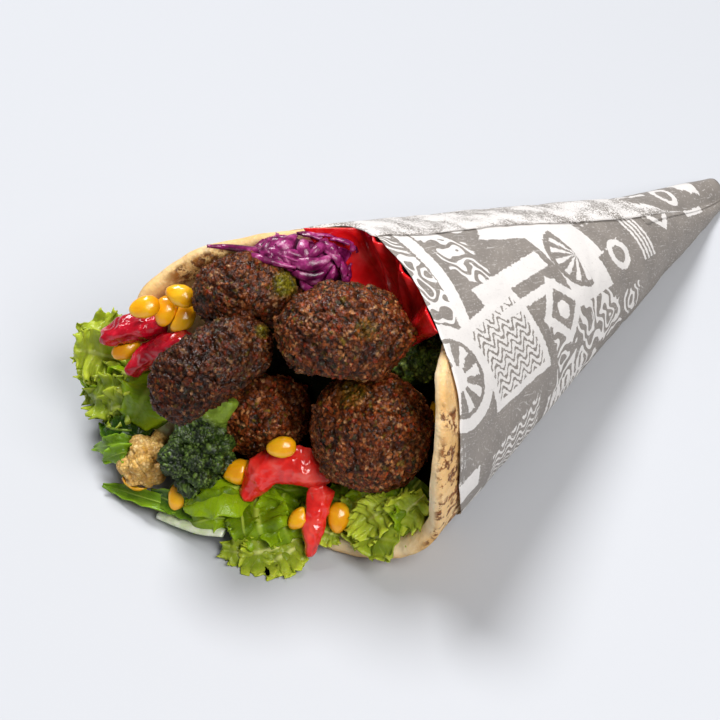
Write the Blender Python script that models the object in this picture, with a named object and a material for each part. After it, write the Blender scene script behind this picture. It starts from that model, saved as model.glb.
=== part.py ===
"""Falafel pita half in a paper cone, lying on its side with its filled mouth towards -X.

Units are metres, +Z up. Everything is laid out from the tip of the cone, which starts at the
world origin on the ground. The finished parts are then moved together, so that the origin is
at the bottom centre of the whole. Lengths written in millimetres are multiplied by MM.
"""

import math

import bmesh
import bpy
from mathutils import Matrix, Vector, noise

MM = 0.001
OBJECT_NAME = "falafel_pita_half"

# Cone of paper and bread: half sizes gained per length from the tip
HALF_WIDTH_RATE = 0.2605
HALF_HEIGHT_RATE = 0.2344
UNDERSIDE_POWER = 3.0
UNDERSIDE_CUT = 0.8 * MM
RIPPLE = 0.5 * MM
RIPPLE_PITCH = 45 * MM
RIPPLES_AROUND = 1.4
SEGMENTS_AROUND = 32
FLAT_ENOUGH = math.radians(2.5)
WALL_ROWS = 7

# The bread opens outwards at its mouth on the far side, and sags to the ground at its lip
FAR_FLARE = 8 * MM
FLARE_START = 165 * MM
FLARE_END = 225 * MM
SAG_START = 206 * MM
SAG_END = 216 * MM

# Walls
GAP = 0.35 * MM
PAPER_THICK = 0.6 * MM
PAPER_TIP = 9 * MM
PAPER_TAIL = 60 * MM
PAPER_TAIL_FLATNESS = 0.5
PAPER_HOLLOW_START = 52 * MM
BREAD_THICK = 5.2 * MM
BREAD_START = 64 * MM
BREAD_BOTTOM = 12 * MM
BREAD_OUTSIDE = PAPER_THICK + 2 * GAP
FILLING_OUTSIDE = BREAD_OUTSIDE + BREAD_THICK + 3 * GAP

# Mouth edges: degrees from the top, positive to the far side, and millimetres from the tip
PAPER_EDGE = [
    (-132, 193), (-90, 206), (-62, 199), (-30, 190), (-10, 183),
    (20, 175), (45, 179), (90, 190), (135, 192), (180, 191),
]
BREAD_EDGE = [
    (-154, 219), (-118, 213), (-90, 215), (-70, 209), (-56, 202), (-44, 188), (-25, 171), (0, 166),
    (22, 176), (40, 192), (60, 206), (85, 222), (120, 231), (150, 231), (180, 227),
]

# The pile's shown side faces this way, so lumps are measured across, up and out of it
SHOWN_AZIMUTH = math.radians(-46.3)
SHOWN_ELEVATION = math.radians(43)

# Lumps: how often they swell and bump around, and how finely they are split
SWELL_RATE = 1.7
BUMP_RATE = 4.0
LUMP_DETAIL = 3

# Falafel balls: centre, half sizes across, up and out, tilt in degrees, flat sides and seed.
# A flat side has the way it faces, in degrees from across towards up, and its distance from the centre.
FALAFELS = {
    "falafel_front_right": ((-205.1, -17.4, 36.9), (18.9, 18.9, 18.5), 0, [(-110, 17.6)], 3),
    "falafel_top_right": ((-205.8, -8.0, 70.3), (19.8, 15.6, 15.8), 0, [(-93, 12.2), (-40, 16.5)], 8),
    "falafel_back_left": ((-208.4, 29.6, 65.1), (16.8, 12.4, 12.7), 0, [(-88, 9.8)], 14),
    "falafel_left": ((-233.5, 19.3, 57.1), (20.5, 14.4, 13.8), 37, [(-56, 8.6), (120, 11.8), (0, 17.5)], 21),
    "falafel_middle": ((-211.5, 21.0, 22.9), (15.2, 13.8, 13.8), 0, [(90, 11.5)], 29),
}
FALAFEL_ROUGHNESS = 0.09
FLAT_SIDE_SINK = 0.85

# Florets: stalk end, crown middle, crown half length and half width
FLORETS = {
    "broccoli_front": ((-226, 21, 40), (-237.5, 23.3, 22.5), 11.5, 9.4),
    "broccoli_back": ((-168, -4, 34), (-178.0, -12.0, 45.0), 10.5, 8.6),
    "cauliflower": ((-230.5, 42, 19), (-242.0, 41, 12.5), 9.6, 7.4),
}
FLORET_ROWS = 9
FLORET_SEGMENTS = 12
# Shares of a floret's length and width
STALK_WIDTH = 0.36
CROWN_START = 0.27
CROWN_FULL = 0.54
DOME_START = 0.62
DOME_LENGTH = 0.385
DOME_END_WIDTH = 0.14
CROWN_BUMP = 0.22
CROWN_BUMP_RATE = 3.1

# Strips: millimetre points along the middle with half widths, then a half thickness
PEPPER_FRONT = [
    (-235, 6, 15, 2.6), (-230, 4, 23, 5.6), (-225, 0, 26, 6.4), (-221, -6, 26, 6), (-217, -11, 22, 4.2),
]
PEPPER_STRIP = [
    (-221, -12.5, 21, 4), (-225, -14.5, 16.5, 3.6), (-228.5, -16, 10.5, 3.2), (-231, -17, 4.5, 2),
]
PICKLE_BACK = [(-235, 65, 42, 3), (-231, 61, 45.5, 4.4), (-227, 57, 47, 4.6), (-222.5, 52.5, 48, 3.4)]
PICKLE_FRONT = [(-235, 54, 36, 3), (-231.5, 50.5, 41, 4.6), (-227.5, 46, 45, 4.8), (-223, 41.5, 48, 3.2)]
STRIP_HALF_THICK = 1.7 * MM
PICKLE_HALF_THICK = 3.2 * MM
STRIP_SIDES = 10
STRIP_END = 1.2 * MM
STRIP_END_WIDTH = 0.45
STRIP_END_THICK = 0.55
STRIP_CURL = 0.8

# Red pepper sheet behind the pile, under the paper's edge: angles it spans, depth and waves
SHEET_FROM = -41
SHEET_TO = 34
SHEET_SIDES = 12
SHEET_STEPS = 12
SHEET_OUTSIDE = 2.2 * MM
SHEET_DEPTH = 30 * MM
SHEET_SETBACK = 3 * MM
SHEET_SLOPE = 9 * MM
SHEET_HALF_THICK = 2.3 * MM
SHEET_WAVE = 1.6 * MM
SHEET_WAVES = 3.5

CABBAGE_CENTRE = (-192.5, 25, 70)
CABBAGE_SIZE = (16.5, 9, 8)
CABBAGE_ROUGHNESS = 0.25
CABBAGE_SEED = 5

# Sweetcorn kernels: middle, degrees turned in the shown plane, scale
KERNELS = [
    ((-228, 54, 57), 15, 1.0), ((-222, 51.5, 53), 75, 1.0), ((-219.5, 47, 60.5), -20, 1.0),
    ((-219.5, 47, 51), 60, 1.05), ((-231, 60.5, 38), 30, 1.0), ((-225, 0, 33), 5, 0.95),
    ((-232, 11, 20), 0, 1.15), ((-248, 40, 8), -15, 0.95), ((-245, 24, 10), 70, 1.0),
    ((-229, -11, 13.5), 40, 0.85), ((-220, -18.5, 12.5), 85, 1.0), ((-185, -27, 38), 80, 0.95),
]
KERNEL_SIZE = (5.0 * MM, 3.6 * MM, 2.8 * MM)
KERNEL_DETAIL = 2
KERNEL_TAPER = 0.32
KERNEL_SQUARENESS = 0.85

# Salad: a core inside the bread, and a mound spilling out of the mouth
CORE_START = 79 * MM
CORE_EDGE = [
    (-154, 211), (-118, 203), (-90, 190), (-69, 180), (-49, 170), (-30, 162), (0, 160),
    (22, 162), (40, 170), (60, 180), (85, 200), (120, 219), (150, 221), (180, 218),
]
CORE_FRONT_MIDDLE = 186 * MM
CORE_FRONT_SHRINKS = (0.16, 0.42, 0.72)
CORE_ROWS = 4
MOUND_CENTRE = (-221, 38, 0)
MOUND_SIZE = (29, 50, 20)
MOUND_LEAN = 0.45
MOUND_ROUGHNESS = 0.18
MOUND_SWELL_RATE = 2.2
MOUND_BUMP_RATE = 6.0
MOUND_ROWS = 5
MOUND_TOP_SHARE = 0.893
MOUND_SEGMENTS = 30

# Colours and roughness by kind
FINISHES = {
    "paper": ((0.40, 0.37, 0.34), 0.75),
    "bread": ((0.87, 0.66, 0.40), 0.80),
    "falafel": ((0.11, 0.045, 0.022), 0.70),
    "broccoli": ((0.03, 0.10, 0.02), 0.60),
    "cauliflower": ((0.72, 0.42, 0.14), 0.60),
    "cabbage": ((0.22, 0.03, 0.20), 0.40),
    "pepper": ((0.45, 0.010, 0.012), 0.25),
    "pickle": ((0.60, 0.012, 0.035), 0.20),
    "corn": ((0.90, 0.45, 0.02), 0.30),
    "salad": ((0.22, 0.42, 0.05), 0.45),
}


def clear_scene():
    for old in list(bpy.data.objects):
        bpy.data.objects.remove(old, do_unlink=True)


def new_collection(name):
    collection = bpy.data.collections.new(name)
    bpy.context.scene.collection.children.link(collection)
    return collection


def at(point):
    """A point given in millimetres, as a vector in metres."""
    return Vector(point) * MM


def ramp(value, low, high):
    """0 below low, 1 above high, smooth between them."""
    part = min(max((value - low) / (high - low), 0.0), 1.0)
    return part * part * (3 - 2 * part)


def around(edge, degrees):
    """Reach of a mouth edge at an angle: a smooth closed curve through the edge's points."""
    count = len(edge)
    turned = (degrees - edge[0][0]) % 360
    starts = [(key[0] - edge[0][0]) % 360 for key in edge] + [360]
    index = max(i for i in range(count) if starts[i] <= turned)
    before, here, after, beyond = (edge[(index + step) % count][1] for step in (-1, 0, 1, 2))
    part = (turned - starts[index]) / (starts[index + 1] - starts[index])
    lift = (after - before) / 2
    fall = (beyond - here) / 2
    square, cube = part * part, part * part * part
    return MM * (
        here * (2 * cube - 3 * square + 1)
        + lift * (cube - 2 * square + part)
        + after * (3 * square - 2 * cube)
        + fall * (cube - square)
    )


def cone_point(reach, degrees, inset):
    """A point of the cone, inset below the outside of its paper, at a reach from the tip."""
    angle = math.radians(degrees)
    side, top = math.sin(angle), math.cos(angle)
    power = 1.0 if top > 0 else 2.0 / UNDERSIDE_POWER
    tail = 1 - PAPER_TAIL_FLATNESS * (1 - ramp(reach, 0, PAPER_TAIL))
    spot = Vector((reach / RIPPLE_PITCH, RIPPLES_AROUND * side, RIPPLES_AROUND * top))
    ripple = RIPPLE * noise.noise(spot) * ramp(reach, 0, PAPER_TAIL)
    flare = FAR_FLARE * max(side, 0.0) ** 2 * ramp(reach, FLARE_START, FLARE_END)
    half_width = HALF_WIDTH_RATE * reach - inset + flare + ripple
    middle = HALF_HEIGHT_RATE * reach * tail
    half_height = middle - inset + ripple
    y = half_width * math.copysign(abs(side) ** power, side)
    z = middle + half_height * math.copysign(abs(top) ** power, top)
    sag = BREAD_OUTSIDE * ramp(reach, SAG_START, SAG_END) if inset > 0 else 0.0
    return Vector((-reach, y, max(z - UNDERSIDE_CUT - sag, inset - sag)))


def shown_axes(tilt_degrees=0.0):
    """Unit vectors across, up and out of the shown side, turned by a tilt in its plane."""
    out = Vector((
        math.sin(SHOWN_AZIMUTH) * math.cos(SHOWN_ELEVATION),
        -math.cos(SHOWN_AZIMUTH) * math.cos(SHOWN_ELEVATION),
        math.sin(SHOWN_ELEVATION),
    ))
    across = Vector((math.cos(SHOWN_AZIMUTH), math.sin(SHOWN_AZIMUTH), 0))
    turn = Matrix.Rotation(math.radians(tilt_degrees), 3, out)
    return turn @ across, turn @ out.cross(across), out


def mesh_object(name, work, collection):
    """An object of the work so far, in flat triangles, so that a grown copy is split alike."""
    bmesh.ops.triangulate(work, faces=work.faces, quad_method="FIXED")
    bmesh.ops.recalc_face_normals(work, faces=work.faces)
    mesh = bpy.data.meshes.new(name)
    work.to_mesh(mesh)
    work.free()
    mesh.shade_smooth()
    made = bpy.data.objects.new(name, mesh)
    collection.objects.link(made)
    return made


def skin(name, rings, collection):
    """One closed solid through rings of equal length, capped at both ends."""
    work = bmesh.new()
    loops = [[work.verts.new(point) for point in ring] for ring in rings]
    for lower, upper in zip(loops, loops[1:]):
        for i in range(len(lower)):
            j = (i + 1) % len(lower)
            work.faces.new((lower[i], lower[j], upper[j], upper[i]))
    for loop in (loops[0], loops[-1]):
        centre = work.verts.new(sum((vert.co for vert in loop), Vector()) / len(loop))
        for i in range(len(loop)):
            work.faces.new((loop[i], loop[(i + 1) % len(loop)], centre))
    return mesh_object(name, work, collection)


def cone_ring(reach_at, inset):
    step = 360 / SEGMENTS_AROUND
    return [cone_point(reach_at(i * step), i * step, inset) for i in range(SEGMENTS_AROUND)]


def cone_shell(name, edge, span, outside, thick, grow, collection):
    """A wall of the cone: up its outside, round its mouth edge and back down its inside.

    The span gives the reach of the wall's closed end, outside and inside.
    """
    start, hollow_start = span[0] - grow, span[1] + grow
    outside, thick = outside - grow, thick + 2 * grow
    lip = thick / 2

    def rim(degrees):
        return around(edge, degrees) + grow - lip

    def wall(part, inset):
        return cone_ring(lambda deg: hollow_start + (rim(deg) - hollow_start) * part, inset)

    parts = [row / WALL_ROWS for row in range(WALL_ROWS + 1)]
    rings = [cone_ring(lambda deg: start, outside)]
    rings.append(cone_ring(lambda deg: (start + hollow_start) / 2, outside))
    rings += [wall(part, outside) for part in parts]
    for swing in (math.radians(turn) for turn in (45, 90, 135)):
        inset = outside + thick * (1 - math.cos(swing)) / 2
        rings.append(cone_ring(lambda deg, swing=swing: rim(deg) + lip * math.sin(swing), inset))
    rings += [wall(part, outside + thick) for part in reversed(parts)]
    return skin(name, rings, collection)


def paper_wrap(name, grow, collection):
    span = (PAPER_TIP, PAPER_HOLLOW_START)
    return cone_shell(name, PAPER_EDGE, span, 0.0, PAPER_THICK, grow, collection)


def pita(name, grow, collection):
    span = (BREAD_START, BREAD_START + BREAD_BOTTOM)
    return cone_shell(name, BREAD_EDGE, span, BREAD_OUTSIDE, BREAD_THICK, grow, collection)


def flattened(local, sides, tilt):
    """A point of a lump, pushed back where it stands out of a flat side."""
    for facing, distance in sides:
        angle = math.radians(facing - tilt)
        way = Vector((math.cos(angle), math.sin(angle), 0))
        beyond = local.dot(way) - distance * MM
        if beyond > 0:
            local = local - way * beyond * FLAT_SIDE_SINK
    return local


def lump(name, centre, sizes, tilt, sides, roughness, seed, grow, collection):
    """An uneven ball, whose half sizes are measured across, up and out of the shown side."""
    axes = shown_axes(tilt)
    work = bmesh.new()
    bmesh.ops.create_icosphere(work, subdivisions=LUMP_DETAIL, radius=1.0)
    for vert in work.verts:
        way = vert.co.copy()
        swell = 1 + roughness * noise.noise(way * SWELL_RATE + Vector((seed, 0, 0)))
        swell += roughness / 2 * noise.noise(way * BUMP_RATE + Vector((0, seed, 0)))
        local = Vector(way[i] * sizes[i] * MM * swell for i in range(3))
        normal = Vector(way[i] / sizes[i] for i in range(3)).normalized()
        local = flattened(local, sides, tilt) + normal * grow
        vert.co = at(centre) + sum((axes[i] * local[i] for i in range(3)), Vector())
    return mesh_object(name, work, collection)


def falafel(name, grow, collection):
    centre, sizes, tilt, sides, seed = FALAFELS[name]
    return lump(name, centre, sizes, tilt, sides, FALAFEL_ROUGHNESS, seed, grow, collection)


def floret(name, grow, collection):
    """A stalk that widens into a lumpy crown, turned around the line between them."""
    stalk, crown, half_length, half_width = FLORETS[name]
    stalk, crown = at(stalk), at(crown)
    axis = (crown - stalk).normalized()
    side = axis.orthogonal().normalized()
    other = axis.cross(side)
    run = (crown - stalk).length + half_length * MM
    rings = []
    for row in range(FLORET_ROWS + 1):
        part = row / FLORET_ROWS
        along = stalk - axis * grow + axis * (run + 2 * grow) * part
        rise = ramp(part, CROWN_START, CROWN_FULL)
        beyond = max(part - DOME_START, 0) / DOME_LENGTH
        dome = math.sqrt(max(1 - beyond ** 2, DOME_END_WIDTH ** 2))
        width = (STALK_WIDTH + (1 - STALK_WIDTH) * rise) * dome * half_width * MM
        ring = []
        for i in range(FLORET_SEGMENTS):
            angle = 2 * math.pi * i / FLORET_SEGMENTS
            way = side * math.cos(angle) + other * math.sin(angle)
            spot = way * CROWN_BUMP_RATE + Vector((2 * CROWN_BUMP_RATE * part, half_width, 0))
            lumps = 1 + CROWN_BUMP * rise * noise.noise(spot)
            ring.append(along + way * (width * lumps + grow))
        rings.append(ring)
    return skin(name, rings, collection)


def strip(name, points, half_thick, grow, collection):
    """A bent strip with a rounded section, its broad side facing the shown side."""
    out = shown_axes()[2]
    middles = [at(point[:3]) for point in points]
    first = (middles[1] - middles[0]).normalized()
    last = (middles[-1] - middles[-2]).normalized()
    start = middles[0] - first * (STRIP_END + grow)
    end = middles[-1] + last * (STRIP_END + grow)
    middles = [start] + middles + [end]
    widths = [STRIP_END_WIDTH * points[0][3]] + [point[3] for point in points]
    widths.append(STRIP_END_WIDTH * points[-1][3])
    rings = []
    for i, middle in enumerate(middles):
        ahead = middles[min(i + 1, len(middles) - 1)] - middles[max(i - 1, 0)]
        broad = ahead.cross(out).normalized()
        thin = broad.cross(ahead).normalized()
        share = STRIP_END_THICK if middle in (start, end) else 1.0
        ring = []
        for k in range(STRIP_SIDES):
            angle = 2 * math.pi * k / STRIP_SIDES
            curl = half_thick * STRIP_CURL * math.cos(angle) ** 2
            ring.append(
                middle + broad * math.cos(angle) * (widths[i] * MM + grow)
                + thin * (math.sin(angle) * (half_thick * share + grow) - curl))
        rings.append(ring)
    return skin(name, rings, collection)


def pepper_sheet(name, grow, collection):
    """A wavy red sheet standing just inside the mouth, under the top edge of the bread."""
    rings = []
    for step in range(SHEET_STEPS + 1):
        part = step / SHEET_STEPS
        degrees = SHEET_FROM + (SHEET_TO - SHEET_FROM) * part
        wave = SHEET_WAVE * math.sin(2 * math.pi * SHEET_WAVES * part)
        ring = []
        for k in range(SHEET_SIDES):
            angle = 2 * math.pi * k / SHEET_SIDES
            depth = 0.5 + 0.5 * math.cos(angle)
            reach = around(PAPER_EDGE, degrees) - SHEET_SETBACK - SHEET_SLOPE * depth + wave
            reach += math.sin(angle) * (SHEET_HALF_THICK + grow)
            inset = SHEET_OUTSIDE - grow + (SHEET_DEPTH + 2 * grow) * depth
            ring.append(cone_point(reach, degrees, inset))
        rings.append(ring)
    return skin(name, rings, collection)


def red_cabbage(name, grow, collection):
    shape = (CABBAGE_CENTRE, CABBAGE_SIZE, 0, [], CABBAGE_ROUGHNESS, CABBAGE_SEED)
    return lump(name, *shape, grow, collection)


def kernel(name, grow, collection):
    """A sweetcorn kernel: a rounded wedge, narrower towards the end that sat on the cob."""
    centre, turned, scale = KERNELS[int(name.rsplit("_", 1)[1]) - 1]
    axes = shown_axes(turned)
    work = bmesh.new()
    bmesh.ops.create_icosphere(work, subdivisions=KERNEL_DETAIL, radius=1.0)
    for vert in work.verts:
        way = vert.co.copy()
        taper = 1 - KERNEL_TAPER * max(-way.x, 0)
        squared = Vector(math.copysign(abs(value) ** KERNEL_SQUARENESS, value) for value in way)
        local = Vector(squared[i] * KERNEL_SIZE[i] * scale for i in range(3))
        local.y *= taper
        local.z *= taper
        local += way * grow
        vert.co = at(centre) + sum((axes[i] * local[i] for i in range(3)), Vector())
    return mesh_object(name, work, collection)


def salad_core(name, collection):
    """The packed filling inside the bread, with a rounded front."""
    rings = []
    for row in range(CORE_ROWS + 1):
        part = row / CORE_ROWS
        rings.append(cone_ring(
            lambda deg, part=part: CORE_START + (around(CORE_EDGE, deg) - CORE_START) * part,
            FILLING_OUTSIDE))
    for shrink in CORE_FRONT_SHRINKS:
        inset = FILLING_OUTSIDE + shrink * (HALF_HEIGHT_RATE * CORE_FRONT_MIDDLE - FILLING_OUTSIDE)
        rings.append(cone_ring(
            lambda deg, shrink=shrink: around(CORE_EDGE, deg) * (1 - shrink) + CORE_FRONT_MIDDLE * shrink,
            inset))
    return skin(name, rings, collection)


def salad_mound(name, collection):
    """The leaves that spill over the lip, as a low uneven mound with a flat underside."""
    rings = []
    for row in range(MOUND_ROWS + 1):
        climb = math.pi / 2 * MOUND_TOP_SHARE * row / MOUND_ROWS
        ring = []
        for i in range(MOUND_SEGMENTS):
            angle = 2 * math.pi * i / MOUND_SEGMENTS
            way = Vector((math.cos(angle), math.sin(angle), 2 * math.sin(climb)))
            swell = 1 + MOUND_ROUGHNESS * noise.noise(way * MOUND_SWELL_RATE)
            swell += MOUND_ROUGHNESS / 2 * noise.noise(way * MOUND_BUMP_RATE)
            ring.append(at(MOUND_CENTRE) + MM * swell * Vector((
                MOUND_SIZE[0] * math.cos(climb) * math.cos(angle),
                MOUND_SIZE[1] * math.cos(climb) * math.sin(angle),
                MOUND_SIZE[2] * math.sin(climb) * (1 + MOUND_LEAN * math.sin(angle)))))
        rings.append(ring)
    return skin(name, rings, collection)


def combine(target, other, operation):
    """Cut another object out of the target, or join it on, and apply the result."""
    boolean = target.modifiers.new(operation.title(), "BOOLEAN")
    boolean.operation = operation
    boolean.solver = "EXACT"
    boolean.object = other
    bpy.context.view_layer.update()
    depsgraph = bpy.context.evaluated_depsgraph_get()
    result = bpy.data.meshes.new_from_object(target.evaluated_get(depsgraph))
    target.modifiers.clear()
    target.data = result


def keep_largest(target):
    """Drop the crumbs that a cut leaves beside the main body, and join its flattest facets."""
    work = bmesh.new()
    work.from_mesh(target.data)
    left = set(work.verts)
    islands = []
    while left:
        stack = [left.pop()]
        island = set(stack)
        while stack:
            for edge in stack.pop().link_edges:
                for vert in edge.verts:
                    if vert not in island:
                        island.add(vert)
                        stack.append(vert)
        left -= island
        islands.append(island)
    islands.sort(key=len)
    for island in islands[:-1]:
        bmesh.ops.delete(work, geom=list(island), context="VERTS")
    bmesh.ops.dissolve_limit(work, angle_limit=FLAT_ENOUGH, verts=work.verts, edges=work.edges)
    bmesh.ops.triangulate(work, faces=work.faces)
    work.to_mesh(target.data)
    work.free()


def corners(made):
    points = [vert.co for vert in made.data.vertices]
    low = Vector(min(point[i] for point in points) for i in range(3))
    high = Vector(max(point[i] for point in points) for i in range(3))
    return low, high


def near(first, second):
    low_a, high_a = corners(first)
    low_b, high_b = corners(second)
    return all(low_a[i] <= high_b[i] and low_b[i] <= high_a[i] for i in range(3))


def hide_cutter(cutter):
    cutter.hide_render = True
    cutter.display_type = "WIRE"


def finish(made, kind):
    """Give an object a material of its own, in the colour of its kind."""
    colour, roughness = FINISHES[kind]
    material = bpy.data.materials.new(made.name)
    material.use_nodes = True
    shader = material.node_tree.nodes["Principled BSDF"]
    shader.inputs["Base Color"].default_value = (*colour, 1.0)
    shader.inputs["Roughness"].default_value = roughness
    shader.inputs["Metallic"].default_value = 0.0
    made.data.materials.clear()
    made.data.materials.append(material)


def piece_list():
    """Every piece but the salad: its name, what makes it and its kind, the first ones cutting the rest."""
    pieces = [("paper_wrap", paper_wrap, "paper"), ("pita", pita, "bread")]
    pieces += [(name, falafel, "falafel") for name in FALAFELS]
    pieces += [(name, floret, name.split("_")[0]) for name in FLORETS]
    strips = {
        "pepper_front": (PEPPER_FRONT, STRIP_HALF_THICK, "pepper"),
        "pepper_strip": (PEPPER_STRIP, STRIP_HALF_THICK, "pepper"),
        "pickle_back": (PICKLE_BACK, PICKLE_HALF_THICK, "pickle"),
        "pickle_front": (PICKLE_FRONT, PICKLE_HALF_THICK, "pickle"),
    }
    for name, (points, half_thick, kind) in strips.items():
        def make(made, grow, collection, points=points, half_thick=half_thick):
            return strip(made, points, half_thick, grow, collection)
        pieces.append((name, make, kind))
    pieces.append(("pepper_back", pepper_sheet, "pepper"))
    pieces.append(("red_cabbage", red_cabbage, "cabbage"))
    pieces += [(f"corn_{i + 1}", kernel, "corn") for i in range(len(KERNELS))]
    return pieces


def build_pieces(parts, cutters):
    """Make each piece, cut by grown copies of the pieces before it that it meets."""
    grown = []
    for name, make, kind in piece_list():
        made = make(name, 0.0, parts)
        if kind != "paper":
            for cutter in grown:
                if cutter.name != "paper_wrap_grown" and near(made, cutter):
                    combine(made, cutter, "DIFFERENCE")
            keep_largest(made)
        finish(made, kind)
        cutter = make(name, GAP, cutters)
        cutter.name = name + "_grown"
        grown.append(cutter)
    return grown


def build_salad(parts, cutters, grown):
    salad = salad_core("salad_bed", parts)
    mound = salad_mound("mound_grown", cutters)
    combine(salad, mound, "UNION")
    for cutter in grown:
        if near(salad, cutter):
            combine(salad, cutter, "DIFFERENCE")
    keep_largest(salad)
    finish(salad, "salad")
    hide_cutter(mound)


def move_to_bottom_centre(parts):
    """Move the whole so that the origin is at the bottom centre of its box."""
    boxes = [corners(made) for made in parts.objects]
    low = Vector(min(box[0][i] for box in boxes) for i in range(3))
    high = Vector(max(box[1][i] for box in boxes) for i in range(3))
    shift = Vector((-(low.x + high.x) / 2, -(low.y + high.y) / 2, -low.z))
    for made in parts.objects:
        made.location = shift
    print("moved by", tuple(round(value, 5) for value in shift))


def main():
    clear_scene()
    parts = new_collection(OBJECT_NAME)
    cutters = new_collection("cutters")
    grown = build_pieces(parts, cutters)
    for cutter in grown:
        hide_cutter(cutter)
    build_salad(parts, cutters, grown)
    move_to_bottom_centre(parts)


main()
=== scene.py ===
"""Looks of the falafel pita half: paper, bread, falafel, salad and toppings in their real finish.

Metres, +Z up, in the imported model's frame. Lengths written in millimetres are multiplied by MM.
Salad leaves are laid where the camera sees them: each is a row of pixels of the 720 by 720 frame,
set down on the solid that carries it with a small lift.
"""
import math

import bmesh
import bpy
import numpy as np
from mathutils import Matrix, Vector, kdtree, noise
from mathutils.bvhtree import BVHTree


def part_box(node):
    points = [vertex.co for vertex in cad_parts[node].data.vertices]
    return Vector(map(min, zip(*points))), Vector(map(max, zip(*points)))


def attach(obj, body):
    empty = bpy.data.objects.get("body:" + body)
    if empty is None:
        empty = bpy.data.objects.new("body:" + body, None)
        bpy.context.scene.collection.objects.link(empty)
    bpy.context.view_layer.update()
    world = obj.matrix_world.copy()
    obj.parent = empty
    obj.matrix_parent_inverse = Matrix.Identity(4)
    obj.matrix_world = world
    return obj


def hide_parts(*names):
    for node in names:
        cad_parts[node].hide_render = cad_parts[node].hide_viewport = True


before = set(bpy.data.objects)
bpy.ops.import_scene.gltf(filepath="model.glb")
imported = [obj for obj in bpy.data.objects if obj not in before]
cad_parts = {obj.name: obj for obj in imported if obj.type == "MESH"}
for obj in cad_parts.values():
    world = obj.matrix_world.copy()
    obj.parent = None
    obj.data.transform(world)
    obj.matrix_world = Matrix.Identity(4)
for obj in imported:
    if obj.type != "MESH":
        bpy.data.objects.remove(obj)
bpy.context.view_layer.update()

MM = 0.001

# Camera and the photograph's frame
CAMERA_AZIMUTH = math.radians(-46.3)
CAMERA_ELEVATION = math.radians(43)
CAMERA_TARGET_FROM_TIP = Vector((-156, 33.7, 0)) * MM
CAMERA_DISTANCE = 0.9
FOCAL_PIXELS = 2790
FRAME_PIXELS = 720
SENSOR_MM = 36
PIXELS_PER_MM = 3.1

# Cone of paper and bread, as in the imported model
PAPER_TIP = 9 * MM
TIP = Vector((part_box("paper_wrap")[1].x + PAPER_TIP, -16.886 * MM, 0))
HALF_WIDTH_RATE = 0.2605
HALF_HEIGHT_RATE = 0.2344
UNDERSIDE_POWER = 3.0
UNDERSIDE_CUT = 0.8 * MM
FAR_FLARE = 8 * MM
FLARE_START = 165 * MM
FLARE_END = 225 * MM
SAG_START = 206 * MM
SAG_END = 216 * MM
PAPER_TAIL = 60 * MM
PAPER_TAIL_FLATNESS = 0.5
PAPER_EDGE = [
    (-132, 193), (-90, 206), (-62, 199), (-30, 190), (-10, 183),
    (20, 175), (45, 179), (90, 190), (135, 192), (180, 191),
]
BREAD_HOLLOW = 76 * MM
BREAD_OUTSIDE = 1.3 * MM
BREAD_THICK = 5.2 * MM
BREAD_EDGE = [
    (-154, 219), (-118, 213), (-90, 215), (-70, 209), (-56, 202), (-44, 188), (-25, 171), (0, 164),
    (22, 168), (40, 189), (60, 206), (85, 222), (120, 231), (150, 231), (180, 227),
]


def ramp(value, low, high):
    """0 below low, 1 above high, smooth between them."""
    part = min(max((value - low) / (high - low), 0.0), 1.0)
    return part * part * (3 - 2 * part)


def ramps(values, low, high):
    part = np.clip((values - low) / (high - low), 0.0, 1.0)
    return part * part * (3 - 2 * part)


def around(edge, degrees):
    """Reach of a mouth edge at an angle: a smooth closed curve through the edge's points."""
    count = len(edge)
    turned = (degrees - edge[0][0]) % 360
    starts = [(key[0] - edge[0][0]) % 360 for key in edge] + [360]
    index = max(i for i in range(count) if starts[i] <= turned)
    before, here, after, beyond = (edge[(index + step) % count][1] for step in (-1, 0, 1, 2))
    part = (turned - starts[index]) / (starts[index + 1] - starts[index])
    lift = (after - before) / 2
    fall = (beyond - here) / 2
    square, cube = part * part, part * part * part
    return MM * (
        here * (2 * cube - 3 * square + 1)
        + lift * (cube - 2 * square + part)
        + after * (3 * square - 2 * cube)
        + fall * (cube - square)
    )


def cone_point(reach, degrees, inset, sag=False):
    """A point of the cone, inset below the outside of its paper, at a reach from the tip."""
    angle = math.radians(degrees)
    side, top = math.sin(angle), math.cos(angle)
    power = 1.0 if top > 0 else 2.0 / UNDERSIDE_POWER
    tail = 1 - PAPER_TAIL_FLATNESS * (1 - ramp(reach, 0, PAPER_TAIL))
    flare = FAR_FLARE * max(side, 0.0) ** 2 * ramp(reach, FLARE_START, FLARE_END)
    half_width = HALF_WIDTH_RATE * reach - inset + flare
    middle = HALF_HEIGHT_RATE * reach * tail
    half_height = middle - inset
    y = half_width * math.copysign(abs(side) ** power, side)
    z = middle + half_height * math.copysign(abs(top) ** power, top)
    sink = BREAD_OUTSIDE * ramp(reach, SAG_START, SAG_END) if sag else 0.0
    return TIP + Vector((-reach, y, max(z - UNDERSIDE_CUT - sink, inset - sink)))


def shown_axes(tilt_degrees=0.0):
    """Unit vectors across, up and out of the shown side, turned by a tilt in its plane."""
    out = Vector((
        math.sin(CAMERA_AZIMUTH) * math.cos(CAMERA_ELEVATION),
        -math.cos(CAMERA_AZIMUTH) * math.cos(CAMERA_ELEVATION),
        math.sin(CAMERA_ELEVATION),
    ))
    across = Vector((math.cos(CAMERA_AZIMUTH), math.sin(CAMERA_AZIMUTH), 0))
    turn = Matrix.Rotation(math.radians(tilt_degrees), 3, out)
    return turn @ across, turn @ out.cross(across), out


ACROSS, UP, OUT = shown_axes()
CAMERA_TARGET = TIP + CAMERA_TARGET_FROM_TIP
EYE = CAMERA_TARGET + OUT * CAMERA_DISTANCE


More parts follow.
